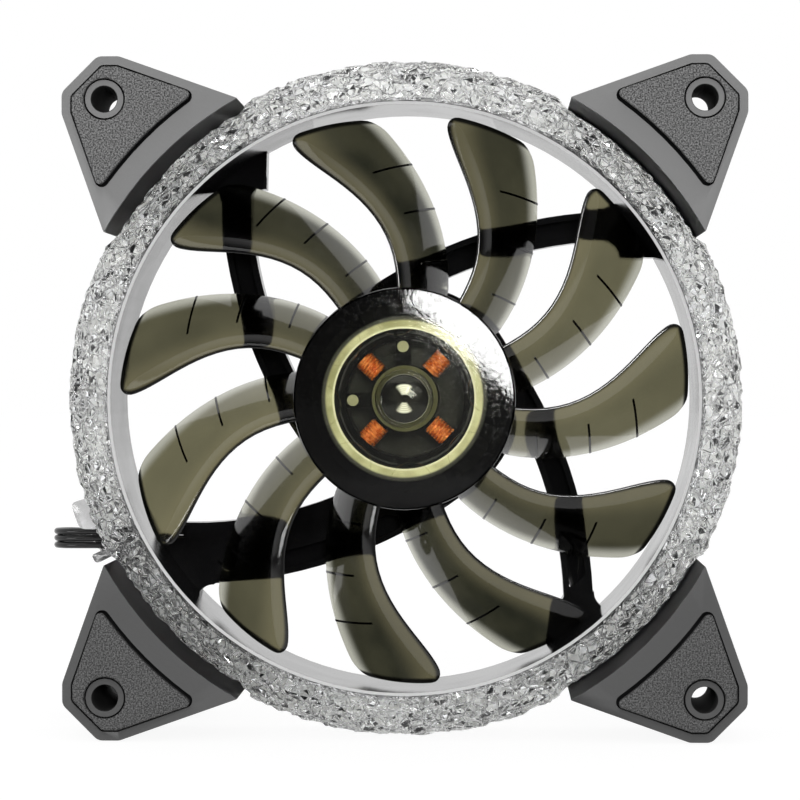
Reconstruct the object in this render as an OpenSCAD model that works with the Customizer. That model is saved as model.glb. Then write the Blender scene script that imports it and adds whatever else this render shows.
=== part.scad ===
// Case fan: a square frame with a clear faceted ring, an eleven-blade rotor, its motor and its lead.
// The fan is drawn lying on its rear face with its axis along z, then stood up with its front towards -y.

/* [Frame] */
// Width and height over the corners
frame_size = 120; // [118:0.5:124]
// Depth over the pads
frame_depth = 25; // [25:0.5:32]
// Distance from the round duct to the frame's sides
duct_margin = 8.5; // [8:0.1:9]
// Wall of the duct
duct_wall = 1; // [0.8:0.1:1.2]
// Width of the duct's front rim
rim_w = 0.5; // [0.4:0.05:0.7]
// Height over which the duct's wall thins towards that rim
rim_taper = 2.4; // [1.5:0.1:4]
// Thickness of the rear flange that carries the ring
flange_t = 1.8; // [1.5:0.1:1.8]

/* [Corners] */
// Distance from the middle of a screw hole to the frame's sides
hole_inset = 7.5; // [7:0.25:8]
// Diameter of a screw hole
hole_d = 4.6; // [4.2:0.1:5]
// Diameter of the collar round a screw hole
collar_d = 6.7; // [6.2:0.1:7.2]
// Gap between the ring and a corner's inner wall
corner_gap = 0.8; // [0.6:0.1:1.2]
// Half of the angle that a corner's inner wall takes up
corner_half_angle = 16; // [15:0.5:17]
// How far the tip is cut back from the square corner, along the diagonal
tip_cut = 4.45; // [4:0.05:5]
// Width of the cut tip
tip_w = 11.7; // [11:0.1:12.5]
// Rounding of a corner's edges
corner_round = 2; // [1:0.1:2.4]

/* [Pads] */
// Rim left round a pad
pad_margin = 1.8; // [1.5:0.1:2]
// Distance from a corner's inner wall to its pad
pad_inset = 4.2; // [3.5:0.1:5]
// Rounding of a pad's tips
pad_round = 1; // [0.6:0.1:1.2]
// Gap round a pad in its recess
pad_gap = 0.3; // [0.2:0.05:0.4]
// Depth of a pad's recess
pad_depth = 1.6; // [1.2:0.1:2]
// How far a pad stands out of the corner
pad_proud = 0.4; // [0.3:0.05:0.5]

/* [Clear ring] */
// Width of the ring, from its inner wall to its outer facets
ring_w = 6.7; // [6:0.1:6.8]
// Gap between the ring and the duct
ring_gap = 0.2; // [0.1:0.05:0.3]
// How far the ring's crest stays behind the duct's front edge
ring_drop = 0.5; // [0.3:0.1:1]
// Height of the domed part of the ring
ring_dome = 9; // [7:0.5:11]
// How deep the facets are broken
facet_depth = 1.2; // [0.6:0.1:1.4]
// Facets round the ring
facet_count = 96; // [72:4:110]
// Thickness of the light board under the ring
led_board_t = 1; // [0.8:0.1:1]
// Width of the light board
led_board_w = 4.6; // [4:0.1:4.8]
// Lights on the board
led_count = 20; // [10:10:20]
// Size of a light, round and across the board and up
led_size = [3.2, 2.6, 1.2];

/* [Struts] */
// Radius of the arc that a strut follows
strut_arc_r = 80; // [79:0.5:81]
// How near that arc comes to the fan's axis
strut_pass = 17.5; // [17:0.1:18]
// Direction of the arc's middle for the first strut
strut_angle = -51.4; // [-56:0.2:-46]
// Width of a strut
strut_w = 5.3; // [4.5:0.1:5.6]
// Wall beside the groove in a strut
strut_wall = 1.1; // [0.9:0.1:1.4]
// Floor under the groove in a strut
strut_floor = 1.4; // [1:0.1:2]
// Fillet where a strut meets the duct
foot_fillet = 3; // [2:0.2:3.4]
// Thickness of the cover over the lead's channel
tray_t = 1; // [0.8:0.1:1.2]
// Distance from the duct's wall to the end of that cover
tray_end_gap = 3.8; // [3:0.1:5.5]

/* [Rotor] */
// Number of blades
blade_count = 11; // [7:1:12]
// Radius of the hub
hub_r = 19.6; // [19.2:0.1:19.8]
// Wall of the hub
hub_wall = 1.2; // [1:0.1:1.4]
// Thickness of the hub's front
cap_t = 1.5; // [1.2:0.1:1.8]
// How far the hub's front stays behind the frame's front
hub_sink = 2; // [1:0.1:2.4]
// Bevel round the hub's front
hub_bevel = 0.9; // [0.5:0.1:1.2]
// Ribs inside the hub
hub_ribs = 8; // [6:1:10]
// Thickness of a rib inside the hub
hub_rib_t = 1.6; // [1:0.1:1.8]
// Gap between the blades and the duct
tip_gap = 1; // [0.8:0.1:1.6]
// Rounding of a blade's outer corners
tip_round = 2.6; // [2:0.1:3.5]
// Blade thickness at the hub
blade_root_t = 1.5; // [1.2:0.1:1.8]
// Blade thickness at the tip
blade_tip_t = 1.1; // [0.9:0.1:1.4]
// Gap between the blades and the struts
blade_gap = 1.8; // [1.5:0.1:2.2]
// How far the blades stay behind the hub's front
blade_drop = 1.9; // [1.5:0.1:2.5]

/* [Motor] */
// Radius of the motor base
base_r = 20.5; // [20.2:0.1:20.7]
// Floor of the motor base
base_floor = 1.4; // [1.2:0.1:1.6]
// Wall of the motor base
base_wall = 1.2; // [1:0.1:1.4]
// Outer radius of the steel yoke
yoke_r = 14.6; // [14.4:0.1:15]
// Wall of the yoke
yoke_t = 1.1; // [0.9:0.1:1.2]
// Thickness of the magnet ring
magnet_t = 1.1; // [0.9:0.1:1.2]
// Air gap between the magnet and the stator
air_gap = 0.45; // [0.35:0.05:0.6]
// Height of the stator's core
core_h = 6; // [5:0.2:6.4]
// Width of a stator arm
arm_w = 1.8; // [1.4:0.1:2]
// Depth of a pole shoe
shoe_t = 1.4; // [1.2:0.1:1.6]
// Insulation over a stator arm
cover_t = 0.6; // [0.5:0.1:0.8]
// Height of a bobbin's end walls
bobbin_h = 2; // [1.8:0.1:2.2]
// Turns that show on a coil
coil_turns = 4; // [2:1:4]
// Diameter of the coil's wire
coil_wire_d = 0.4; // [0.3:0.02:0.42]
// Diameter of the shaft
shaft_d = 3; // [2.6:0.1:3.2]
// Running clearance round the shaft
shaft_gap = 0.03; // [0.02:0.005:0.06]
// Wall of the sleeve bearing
sleeve_wall = 1.4; // [1.2:0.1:1.5]
// Wall of the bearing tube
tube_wall = 1; // [0.8:0.1:1.1]
// Height of the boss round the bearing tube
boss_h = 2.6; // [2.2:0.1:3]
// Height of the stator's core above the base's floor
stator_lift = 7.2; // [7:0.1:7.4]
// Thickness of the driver board
board_t = 0.9; // [0.8:0.1:1]
// Gap under the driver board
board_lift = 0.6; // [0.5:0.1:0.8]
// Length, width and height of the driver chip
chip_size = [4, 5, 1.5];
// Length, width and height of the board's small parts
part_size = [1.6, 2.6, 1];
// Thickness of the rear label
label_t = 0.25; // [0.15:0.05:0.35]

/* [Lead] */
// Diameter of one wire
wire_d = 1.2; // [1.1:0.05:1.25]
// Distance between neighbouring wires
wire_pitch = 1.25; // [1.25:0.01:1.3]
// Distance from the middle line of a strut to the lead beside it
lead_inset = 5.5; // [5:0.1:6]
// How far the lead guide stands out beyond the ring
guide_w = 3.5; // [2.6:0.1:3.6]
// Height of the lead guide above the flange
guide_h = 11.8; // [8:0.2:14]
// Turns in the lead's coil
lead_turns = 4.25; // [3.25:1:4.25]
// Distance between neighbouring turns of the lead's coil
lead_turn_pitch = 1.4; // [1.35:0.01:1.5]
// Inner radius of the lead's coil, to the middle of the wire
lead_coil_r = 5.3; // [5.2:0.1:5.4]
// Length, width and height of the connector
connector_size = [12, 5.8, 8];
// Distance between the connector's terminals
terminal_pitch = 2.54; // [2.4:0.01:2.6]

/* [Hidden] */
$fn = 96;
eps = 0.05;
fit = 0.05;
corner_angles = [45, 135, 225, 315];

// Levels above the rear, before the fan is stood up
rear_z = pad_proud;
front_z = frame_depth - pad_proud;
flange_z = rear_z + flange_t;
floor_z = rear_z + base_floor;
board_z = floor_z + board_lift;
board_top = board_z + board_t;
wire_r = wire_d / 2;
lead_z = board_top + wire_r;
lead_clear = 0.2;
tray_z = lead_z + wire_r + lead_clear;
strut_top = tray_z + tray_t;
ring_z = max(lead_z + wire_r, flange_z + led_board_t + led_size[2]) + 0.3;
ring_top = front_z - ring_drop;
hub_front = front_z - hub_sink;
cap_z = hub_front - cap_t;
hub_z = strut_top + 0.6;
rim_z = strut_top - 0.5;

// Radii of the ring and corners
duct_r = frame_size / 2 - duct_margin;
duct_outer = duct_r + duct_wall;
tray_end_r = duct_r - tray_end_gap;
strut_centre_r = strut_arc_r - strut_pass;
ring_inner = duct_outer + ring_gap;
ring_r = ring_inner + ring_w;
crest_r = ring_inner - (duct_wall - rim_w) * (rim_taper - ring_drop) / rim_taper;
guide_r = ring_r + guide_w;
corner_r = ring_r + corner_gap;
pad_inner_r = corner_r + pad_inset;
collar_r = collar_d / 2;
hole_u = (frame_size - 2 * hole_inset) / sqrt(2);
tip_u = frame_size / sqrt(2) - tip_cut;
root_u = corner_r * cos(corner_half_angle) - 3;

// Blades
root_r = hub_r - 0.6;
tip_r = duct_r - tip_gap;
blade_rear = strut_top + blade_gap;
blade_front = hub_front - blade_drop;
chord_steps = 7;
span_steps = 7;

// Motor
shaft_r = shaft_d / 2;
bore_r = shaft_r + shaft_gap;
sleeve_r = bore_r + sleeve_wall;
tube_in = sleeve_r + fit;
tube_out = tube_in + tube_wall;
boss_wall = 1.3;
boss_r = tube_out + fit + boss_wall;
boss_z = floor_z + boss_h;
board_in = boss_r + 0.2;
board_out = base_r - base_wall - 2;
label_r = base_r - 3;
thrust_t = 0.6;
end_play = 0.2;
shaft_z = floor_z + thrust_t + end_play;
clip_z = shaft_z + 0.9;
clip_t = 0.4;
groove_r = shaft_r - 0.3;
stator_z = floor_z + stator_lift;
stator_mid = stator_z + core_h / 2;
stator_top = stator_z + core_h + bobbin_h;
magnet_r = yoke_r - yoke_t - fit;
magnet_in = magnet_r - magnet_t;
stator_r = magnet_in - air_gap;
guard_in = stator_r - shoe_t;
collar_out = tube_out + fit + 2.1;
tube_top = stator_top - 0.6;
sleeve_z = clip_z + clip_t + 0.5;
sleeve_top = tube_top - 0.6;
insert_r = 4.2;
insert_z = stator_top + 0.9;
yoke_z = hub_z + 0.7;
yoke_top = cap_z - fit;
lip_t = 1;
arm_angle = 47;
peg_r = 1;
peg_place_r = (collar_out + guard_in) / 2 + 0.9;

// Coil of one arm: a block of inner layers under one winding
coil_start = collar_out + 0.2;
coil_end = guard_in - 0.2;
slot_w = arm_w + 0.8;
slot_h = core_h + 2 * cover_t + 0.2;
block_t = 0.6;
block_w = slot_w + 2 * block_t;
block_h = slot_h + block_w;
coil_r = coil_wire_d / 2;
wind_w = block_w / 2 + coil_r + 0.04;
wind_h = block_h / 2 + coil_r + 0.04;
coil_pitch = (coil_end - coil_start - coil_wire_d) / coil_turns;
loop_steps = 24;

// Lead: its route in the fan, and then as the fan stands
wires = [-1, 0, 1];
cable_angle = strut_angle + 180;
cable_centre = strut_centre_r * [cos(cable_angle), sin(cable_angle)];
lead_arc_r = strut_arc_r - lead_inset;
lead_y = cable_centre[1] - lead_arc_r;
lead_half_w = wire_pitch + wire_r;
exit_x = 1.4 - ring_r;
exit_y = frame_depth / 2 - lead_z;
exit_h = frame_size / 2 + lead_y;
lead_start_r = mix(board_in, board_out, 0.69);
lead_start_turn =
    (strut_centre_r ^ 2 + lead_arc_r ^ 2 - lead_start_r ^ 2) / (2 * strut_centre_r * lead_arc_r);
lead_first_angle = cable_angle + 180 - acos(min(1, lead_start_turn));
guide_angle = 180 - asin(lead_y / ring_r) - 2.8;
coil_h = lead_half_w + 0.5;
coil_centre = [exit_x + 6.2, exit_y + 24.4, coil_h];
coil_first_angle = 90;
tail_x = exit_x + 2;
tail_y = exit_y + 16.4;
tail_h = coil_h + lead_half_w + fit;
// Points of the free stretch: along x and y from the exit, and the share of the drop that is left
lead_points = [
    [0, 0, 1], [-2.4, 0, 1], [-4.45, 0.55, 0.999], [-5.95, 2.05, 0.998], [-6.5, 4.1, 0.996],
    [-5.95, 6.15, 0.994], [-4.45, 7.65, 0.992], [-2.4, 8.2, 0.989], [0.3, 8.35, 0.984], [2.9, 8.9, 0.97],
    [5.3, 10, 0.945], [7.3, 11.6, 0.905], [8.9, 13.4, 0.85], [10.2, 15.2, 0.775], [11.2, 16.8, 0.69],
    [11.9, 18.1, 0.6], [12.4, 19.2, 0.505], [12.7, 20.2, 0.41], [12.8, 21.2, 0.32], [12.6, 22.5, 0.235],
    [12, 24.2, 0.155], [10.85, 26.1, 0.1], [9.6, 28.2, 0.045], [7.9, 29.35, 0.006], [6.5, 29.68, 0]
];
// Points of the tail: along x and y from the connector, and the share of the rise onto the coil
tail_points = [
    [-6.95, 5.8, 0.015], [-6.5, 3.7, 0.18], [-5.4, 1.8, 0.5], [-3.6, 0.5, 0.86], [-1.5, 0, 1], [0, 0, 1]
];
tie_gap = 0.1;
tie_t = 0.35;
tie_w = 2.4;
tie_turn = 0.25;

// Vectors
function lead_point(p) = [exit_x + p[0], exit_y + p[1], mix(coil_h, exit_h, p[2])];
function unit(v) = v / norm(v);
function polar(r, a, z) = [r * cos(a), r * sin(a), z];
function mix(a, b, t) = a + (b - a) * t;
function along(path, i) =
    unit(path[min(i + 1, len(path) - 1)] - path[max(i - 1, 0)]);
function square_to(t, lean) = unit(lean - (lean * t) * t);

// Tubes: rings of points round a path, and the triangles between them
function ring_points(path, i, r, sides, lean) =
    let (t = along(path, i), n = square_to(t, lean), b = cross(t, n))
    [for (k = [0:sides - 1]) path[i] + r * (cos(360 * k / sides) * n + sin(360 * k / sides) * b)];
function tube_points(path, r, sides, lean) =
    [for (i = [0:len(path) - 1]) each ring_points(path, i, r, sides, lean)];
function wall_faces(first, next, sides) =
    [for (k = [0:sides - 1]) let (m = (k + 1) % sides)
        each [[first + k, next + k, next + m], [first + k, next + m, first + m]]];
function tube_faces(rings, sides) =
    let (e = (rings - 1) * sides)
    concat(
        [for (i = [0:rings - 2]) each wall_faces(i * sides, (i + 1) * sides, sides)],
        [for (k = [1:sides - 2]) [0, k, k + 1]],
        [for (k = [1:sides - 2]) [e, e + k + 1, e + k]]
    );
module tube(path, r, sides, lean)
    polyhedron(tube_points(path, r, sides, lean), tube_faces(len(path), sides));

// Least gap between points of a path that are more than half a loop apart
function least_gap(path, d) =
    let (last = len(path) - 1)
    min([for (i = [0:last]) for (j = [i + loop_steps / 2:1:last]) norm(path[i] - path[j])]) - d;

// The fan drawn flat is stood up on its lower corners
module upright()
    translate([0, frame_depth / 2, frame_size / 2]) rotate([90, 0, 0]) children();
module at_corner(k)
    rotate(corner_angles[k - 1]) children();
module raise(z, h)
    translate([0, 0, z]) linear_extrude(h) children();
module pipe(inner, outer, z, h)
    raise(z, h) difference() {
        circle(outer);
        circle(inner);
    }
module sector(half)
    polygon([[0, 0], 100 * [cos(half), -sin(half)], 100 * [cos(half), sin(half)]]);

// Frame: duct, flange, corners, struts and motor base in one moulding
module corner_outline()
    offset(r = corner_round, $fn = 40) offset(delta = -corner_round) intersection() {
        polygon([
            [root_u, -corner_r * sin(corner_half_angle)],
            corner_r * [cos(corner_half_angle), -sin(corner_half_angle)],
            [tip_u, -tip_w / 2],
            [tip_u, tip_w / 2],
            corner_r * [cos(corner_half_angle), sin(corner_half_angle)],
            [root_u, corner_r * sin(corner_half_angle)]
        ]);
        rotate(45) square(frame_size, center = true);
    }
module pad_outline(grow)
    offset(r = pad_round + grow, $fn = 32) offset(delta = -pad_round) difference() {
        offset(delta = -pad_margin) corner_outline();
        circle(pad_inner_r, $fn = 120);
    }
module pad_recess(z)
    raise(z, pad_depth + eps) difference() {
        pad_outline(pad_gap);
        translate([hole_u, 0]) circle(collar_r);
    }
module corner()
    difference() {
        raise(rear_z, front_z - rear_z) corner_outline();
        translate([0, 0, flange_z]) cylinder(r = corner_r, h = frame_depth);
        translate([hole_u, 0, 0]) cylinder(d = hole_d, h = frame_depth);
        pad_recess(front_z - pad_depth);
        pad_recess(rear_z - eps);
    }
module strut_band(inner, outer, from_r, to_r)
    intersection() {
        rotate(strut_angle) translate([strut_centre_r, 0]) difference() {
            circle(outer);
            circle(inner);
        }
        rotate(strut_angle) translate([-frame_size, 0]) square([2 * frame_size, frame_size]);
        difference() {
            circle(to_r);
            circle(from_r);
        }
    }
module strut_foot() {
    reach = duct_r + duct_wall / 2;
    turn = acos((strut_arc_r ^ 2 - strut_centre_r ^ 2 - duct_r ^ 2) / (2 * strut_centre_r * duct_r));
    foot = polar(duct_r, strut_angle + 180 - turn, 0);
    out = foot - polar(strut_centre_r, strut_angle, 0);
    intersection() {
        circle(reach);
        translate([foot[0], foot[1]]) rotate(atan2(out[1], out[0]) - 90) difference() {
            square([4 * foot_fillet, strut_w + 2 * foot_fillet], center = true);
            for (side = [-1, 1]) translate([-2 * foot_fillet, side * (strut_w / 2 + foot_fillet)])
                circle(foot_fillet);
        }
    }
}
module strut() {
    half = strut_w / 2;
    groove = half - strut_wall;
    difference() {
        raise(rear_z, strut_top - rear_z) union() {
            strut_band(strut_arc_r - half, strut_arc_r + half, base_r - base_wall, duct_r + duct_wall / 2);
            strut_foot();
        }
        raise(rear_z + strut_floor, frame_depth)
            strut_band(strut_arc_r - groove, strut_arc_r + groove, base_r + 1, duct_r - 2 * foot_fillet);
    }
}
module lead_tray() {
    lip = lead_arc_r - lead_half_w - 0.3;
    edge = strut_arc_r - strut_w / 2 + strut_wall / 2;
    raise(tray_z, tray_t) strut_band(lip - 0.8, edge, base_r - base_wall / 2, tray_end_r);
    raise(rear_z, strut_top - rear_z) strut_band(lip - 0.8, lip, base_r - base_wall / 2, tray_end_r);
    for (r = [base_r + 7.5, tray_end_r - 9.7])
        raise(board_z - 0.6, 0.8) strut_band(lip - 0.4, edge, r, r + 3);
}
module motor_base()
    difference() {
        union() {
            translate([0, 0, rear_z]) cylinder(r = base_r, h = base_floor);
            pipe(base_r - base_wall, base_r, rear_z, rim_z - rear_z);
            pipe(board_out - 1.6, base_r - base_wall / 2, floor_z - eps, board_lift + eps);
            translate([0, 0, floor_z - eps]) cylinder(r = boss_r, h = boss_z - floor_z + eps);
        }
        translate([0, 0, floor_z]) cylinder(r = tube_out + fit, h = frame_depth);
        translate([0, 0, rear_z - eps]) cylinder(r = label_r + fit, h = label_t + eps);
    }
module lead_cuts() {
    half = lead_half_w + 0.25;
    raise(lead_z - wire_r - 0.15, frame_depth) rotate(180)
        strut_band(lead_arc_r - half, lead_arc_r + half, base_r - 2 * base_wall, base_r + base_wall / 4);
    raise(lead_z - wire_r - 0.1, wire_d + 0.25) rotate(180)
        strut_band(lead_arc_r - half, lead_arc_r + half, base_r, duct_r);
    translate([exit_x, lead_y - half, lead_z - wire_r - 0.1])
        cube([cable_centre[0] + 3 - exit_x, 2 * half, wire_d + 0.25]);
}
module duct()
    rotate_extrude($fn = 180) polygon([
        [duct_r, rear_z], [duct_outer, rear_z], [duct_outer, front_z - rim_taper],
        [duct_r + rim_w, front_z], [duct_r, front_z]
    ]);
module frame() color([0.2, 0.2, 0.21]) upright() difference() {
    union() {
        duct();
        pipe(duct_r + duct_wall / 2, ring_r, rear_z, flange_t);
        for (k = [1:4]) at_corner(k) corner();
        for (k = [0:3]) rotate(90 * k) strut();
        rotate(180) lead_tray();
        motor_base();
    }
    lead_cuts();
}

// Rubber pads, let into both faces of every corner
module pad(k, z) color([0.24, 0.24, 0.24]) upright() at_corner(k)
    raise(z, pad_depth + pad_proud) difference() {
        pad_outline(0);
        translate([hole_u, 0]) circle(collar_r + pad_gap);
    }

// Clear ring with broken facets, in one closed skin round the duct
dome_steps = 6;
jitter = rands(-1, 1, 3 * facet_count * (dome_steps + 1), 7);
function shake(i, j, axis) = jitter[3 * (i * (dome_steps + 1) + j) + axis];
function dome_point(i, j) =
    let (
        t = 90 * (1 - j / dome_steps),
        edge = j == 0 ? 0 : 1,
        dent = edge * facet_depth / 2,
        r = crest_r + (ring_r - crest_r - dent * (1 + shake(i, j, 0))) * cos(t),
        z = ring_top - ring_dome * (1 - sin(t)) - dent * (1 + shake(i, j, 1)) * sin(t),
        a = 360 / facet_count * (i + 0.5 * (j % 2) + 0.3 * edge * shake(i, j, 2))
    )
    polar(r, a, z);
function ring_section(i) =
    let (
        a = 360 * i / facet_count,
        wall_r = ring_r - 0.15 * facet_depth * (1 + shake(i, 0, 0))
    )
    concat(
        [for (j = [0:dome_steps]) dome_point(i, j)],
        [polar(wall_r, a, (ring_z + ring_top - ring_dome) / 2)],
        [polar(ring_r - 0.4, a, ring_z)],
        [for (z = [ring_z, front_z - rim_taper]) polar(ring_inner, a, z)]
    );
module crystal_ring() color([0.85, 0.86, 0.88, 0.6]) upright() {
    sides = dome_steps + 5;
    polyhedron(
        [for (i = [0:facet_count - 1]) each ring_section(i)],
        [for (i = [0:facet_count - 1]) each wall_faces(i * sides, (i + 1) % facet_count * sides, sides)]
    );
}
module led_board() color([0.9, 0.9, 0.88]) upright()
    pipe(duct_outer + ring_gap, duct_outer + ring_gap + led_board_w, flange_z, led_board_t);
module leds() color([0.95, 0.93, 0.8]) upright() for (k = [0:led_count - 1])
    rotate(360 * k / led_count)
        translate([duct_outer + ring_gap + led_board_w / 2, 0, flange_z + led_board_t + led_size[2] / 2])
            cube([led_size[1], led_size[0], led_size[2]], center = true);

// Clear guide on the flange, notched for the wires
module guide_outline(inner)
    intersection() {
        difference() {
            circle(guide_r);
            circle(inner);
        }
        rotate(guide_angle) sector(5.4);
    }
module lead_guide() color([0.85, 0.86, 0.88, 0.6]) upright() {
    half = lead_half_w + 0.35;
    shelf = led_board_t - 0.05;
    raise(flange_z, shelf) guide_outline(duct_outer + ring_gap + led_board_w + 0.2);
    difference() {
        raise(flange_z, guide_h) guide_outline(ring_r + 0.3);
        translate([-guide_r, lead_y - half, flange_z + shelf]) cube([guide_r / 2, 2 * half, guide_h]);
    }
}
module rear_label() color([0.8, 0.8, 0.8]) upright()
    translate([0, 0, rear_z]) cylinder(r = label_r, h = label_t);

// Bearing
module bearing_tube() color([0.78, 0.62, 0.3]) upright()
    pipe(tube_in, tube_out, floor_z, tube_top - floor_z);
module sleeve_bearing() color([0.7, 0.5, 0.28]) upright()
    pipe(bore_r, sleeve_r, sleeve_z, sleeve_top - sleeve_z);
module thrust_cap() color([0.9, 0.88, 0.8]) upright()
    translate([0, 0, floor_z]) cylinder(r = tube_in - fit, h = thrust_t);

// Stator: a laminated core between two bobbin halves, with a coil on each arm
module arms(width, to_r)
    for (k = [0:3]) rotate(arm_angle + 90 * k) translate([0, -width / 2]) square([to_r, width]);
module shoes(inner, outer, half)
    for (k = [0:3]) intersection() {
        difference() {
            circle(outer);
            circle(inner);
        }
        rotate(arm_angle + 90 * k) sector(half);
    }
module stator_core() color([0.5, 0.5, 0.52]) upright() raise(stator_z, core_h) difference() {
    union() {
        circle(collar_out - 0.6);
        arms(arm_w, guard_in + shoe_t / 2);
        shoes(guard_in, stator_r, 36);
    }
    circle(tube_out + fit);
}
module bobbin_plate()
    difference() {
        union() {
            circle(collar_out);
            arms(arm_w + 0.6, guard_in + 0.4);
            difference() {
                circle(stator_r - 0.3);
                circle(guard_in);
            }
        }
        circle(tube_out + fit);
    }
module bobbin_half() {
    linear_extrude(cover_t) bobbin_plate();
    pipe(collar_out - 1, collar_out, 0, bobbin_h);
    pipe(guard_in, guard_in + 0.8, 0, bobbin_h);
}
module bobbin_front() color([0.83, 0.82, 0.68]) upright() translate([0, 0, stator_z + core_h]) {
    bobbin_half();
    for (k = [1, 2]) rotate(arm_angle + 90 * k - 45) {
        translate([collar_out - 0.5, -peg_r - 0.3, 0])
            cube([guard_in - collar_out + 0.8, 2 * peg_r + 0.6, cover_t]);
        translate([peg_place_r, 0, 0]) cylinder(r = peg_r, h = bobbin_h + 0.6);
    }
}
module bobbin_rear() color([0.83, 0.82, 0.68]) upright() {
    translate([0, 0, stator_z]) mirror([0, 0, 1]) bobbin_half();
    pipe(tube_out + fit, boss_r, boss_z + fit, stator_z - boss_z - fit);
}
module stadium(w, h) {
    square([h - w, w], center = true);
    for (end = [-1, 1]) translate([end * (h - w) / 2, 0]) circle(w / 2);
}
function winding_point(s) =
    let (a = 360 * s, lift = sign(sin(a)) * (wind_h - wind_w))
    [coil_start + coil_r + coil_pitch * s, wind_w * cos(a), lift + wind_w * sin(a)];
function winding_path() =
    let (
        points = [for (i = [0:coil_turns * loop_steps - 1]) winding_point((i + 0.5) / loop_steps)],
        last = len(points) - 1
    )
    concat(
        [points[0] - coil_wire_d * along(points, 0)],
        points,
        [points[last] + coil_wire_d * along(points, last)]
    );
module coil(k) color([0.72, 0.4, 0.16]) upright() translate([0, 0, stator_mid]) rotate(arm_angle + 90 * k) {
    translate([coil_start, 0, 0]) rotate([0, 90, 0]) linear_extrude(coil_end - coil_start) difference() {
        stadium(block_w, block_h);
        square([slot_h, slot_w], center = true);
    }
    tube(winding_path(), coil_r, 6, [1, 0, 0]);
}

// Driver board with its parts, and the wires held in the strut's channel
module driver_board() color([0.1, 0.3, 0.16]) upright()
    pipe(board_in, board_out, board_z, board_t);
module on_board(a, r, size)
    rotate(a) translate([r, 0, board_top + size[2] / 2]) cube(size, center = true);
function board_place(share) = mix(board_in, board_out, share);
module hall_sensor() color([0.12, 0.12, 0.12]) upright()
    on_board(20, (magnet_in + magnet_r) / 2, [2.6, 4, 1.4]);
module board_parts() color([0.16, 0.15, 0.14]) upright() {
    on_board(110, board_place(0.42), chip_size);
    on_board(155, board_place(0.5), 1.2 * part_size);
    on_board(190, board_place(0.5), part_size);
    on_board(325, board_place(0.55), part_size);
}
function inner_lead(k) =
    concat(
        [for (i = [0:8])
            let (a = mix(lead_first_angle, 270, i / 8), r = lead_arc_r - k * wire_pitch)
            [cable_centre[0] + r * cos(a), cable_centre[1] + r * sin(a), lead_z]],
        [for (i = [1:4]) [mix(cable_centre[0], exit_x, i / 4), lead_y + k * wire_pitch, lead_z]]
    );
module inner_leads() color([0.06, 0.06, 0.06]) upright() for (k = wires)
    tube(inner_lead(k), wire_r, 8, [0, 0, 1]);

// Rotor: hub and blades in one moulding, with the yoke, magnet and shaft inside
function ease(t) = t ^ 2 * (3 - 2 * t);
function leading(s) = 28.25 + 20.5 * ease(s ^ 1.2);
function trailing(s) = 2.4 + 28.6 * s;
function span(r) = max(0, (r - hub_r) / (tip_r - hub_r));
function blade_point(r, f) =
    let (
        s = span(r),
        a = mix(trailing(s), leading(s), f),
        low = blade_rear + 0.3 * s,
        high = blade_front - 1.2 * s
    )
    polar(r, a, mix(low, high, 1 - (1 - f) ^ 1.5));
function blade_normal(r, f) =
    unit(cross(blade_point(r + 0.1, f) - blade_point(r - 0.1, f),
        blade_point(r, min(f + 0.01, 1)) - blade_point(r, max(f - 0.01, 0))));
function corner_inset(r) =
    let (t = max(0, r - (tip_r - tip_round)))
    tip_round - sqrt(max(0, tip_round ^ 2 - t ^ 2));
function blade_side(r, c, side) =
    let (
        s = span(r),
        trim = corner_inset(r) / norm(blade_point(r, 1) - blade_point(r, 0)),
        f = mix(trim, 1 - trim, c),
        t = mix(blade_root_t, blade_tip_t, s) * (0.45 + 2.2 * c * (1 - c))
    )
    blade_point(r, f) + side * t / 2 * blade_normal(r, f);
function blade_section(r) =
    concat(
        [for (j = [chord_steps:-1:0]) blade_side(r, j / chord_steps, 1)],
        [for (j = [0:chord_steps]) blade_side(r, j / chord_steps, -1)]
    );
blade_stations = concat(
    [for (i = [0:span_steps]) mix(root_r, tip_r - tip_round, i / span_steps)],
    [for (a = [30, 60, 90]) tip_r - tip_round + tip_round * sin(a)]
);
function end_faces(first, sides) =
    [for (k = [0:sides / 2 - 2])
        let (a = first + k, b = first + k + 1, c = first + sides - 2 - k, d = first + sides - 1 - k)
        each [[a, b, c], [a, c, d]]];
function flipped(faces) = [for (f = faces) [f[0], f[2], f[1]]];
module blade() {
    sides = 2 * chord_steps + 2;
    rows = len(blade_stations);
    polyhedron(
        [for (r = blade_stations) each blade_section(r)],
        concat(
            [for (i = [0:rows - 2]) each wall_faces(i * sides, (i + 1) * sides, sides)],
            end_faces(0, sides),
            flipped(end_faces((rows - 1) * sides, sides))
        )
    );
}
module hub() {
    inner = hub_r - hub_wall;
    socket_r = insert_r + fit;
    socket_out = socket_r + 0.9;
    socket_z = insert_z + 0.4;
    rotate_extrude() polygon([
        [0, hub_front], [hub_r - hub_bevel, hub_front], [hub_r, hub_front - hub_bevel], [hub_r, hub_z],
        [inner, hub_z], [inner, cap_z], [socket_out, cap_z], [socket_out, socket_z], [socket_r, socket_z],
        [socket_r, cap_z], [0, cap_z]
    ]);
    for (k = [0:hub_ribs - 1]) rotate(31 + 360 * k / hub_ribs)
        translate([yoke_r + fit, -hub_rib_t / 2, hub_z + 3])
            cube([inner - yoke_r - fit + eps, hub_rib_t, cap_z - hub_z - 3 + eps]);
}
module impeller() color([0.3, 0.3, 0.24, 0.8]) upright() {
    hub();
    for (k = [0:blade_count - 1]) rotate(360 * k / blade_count) blade();
}
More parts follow.
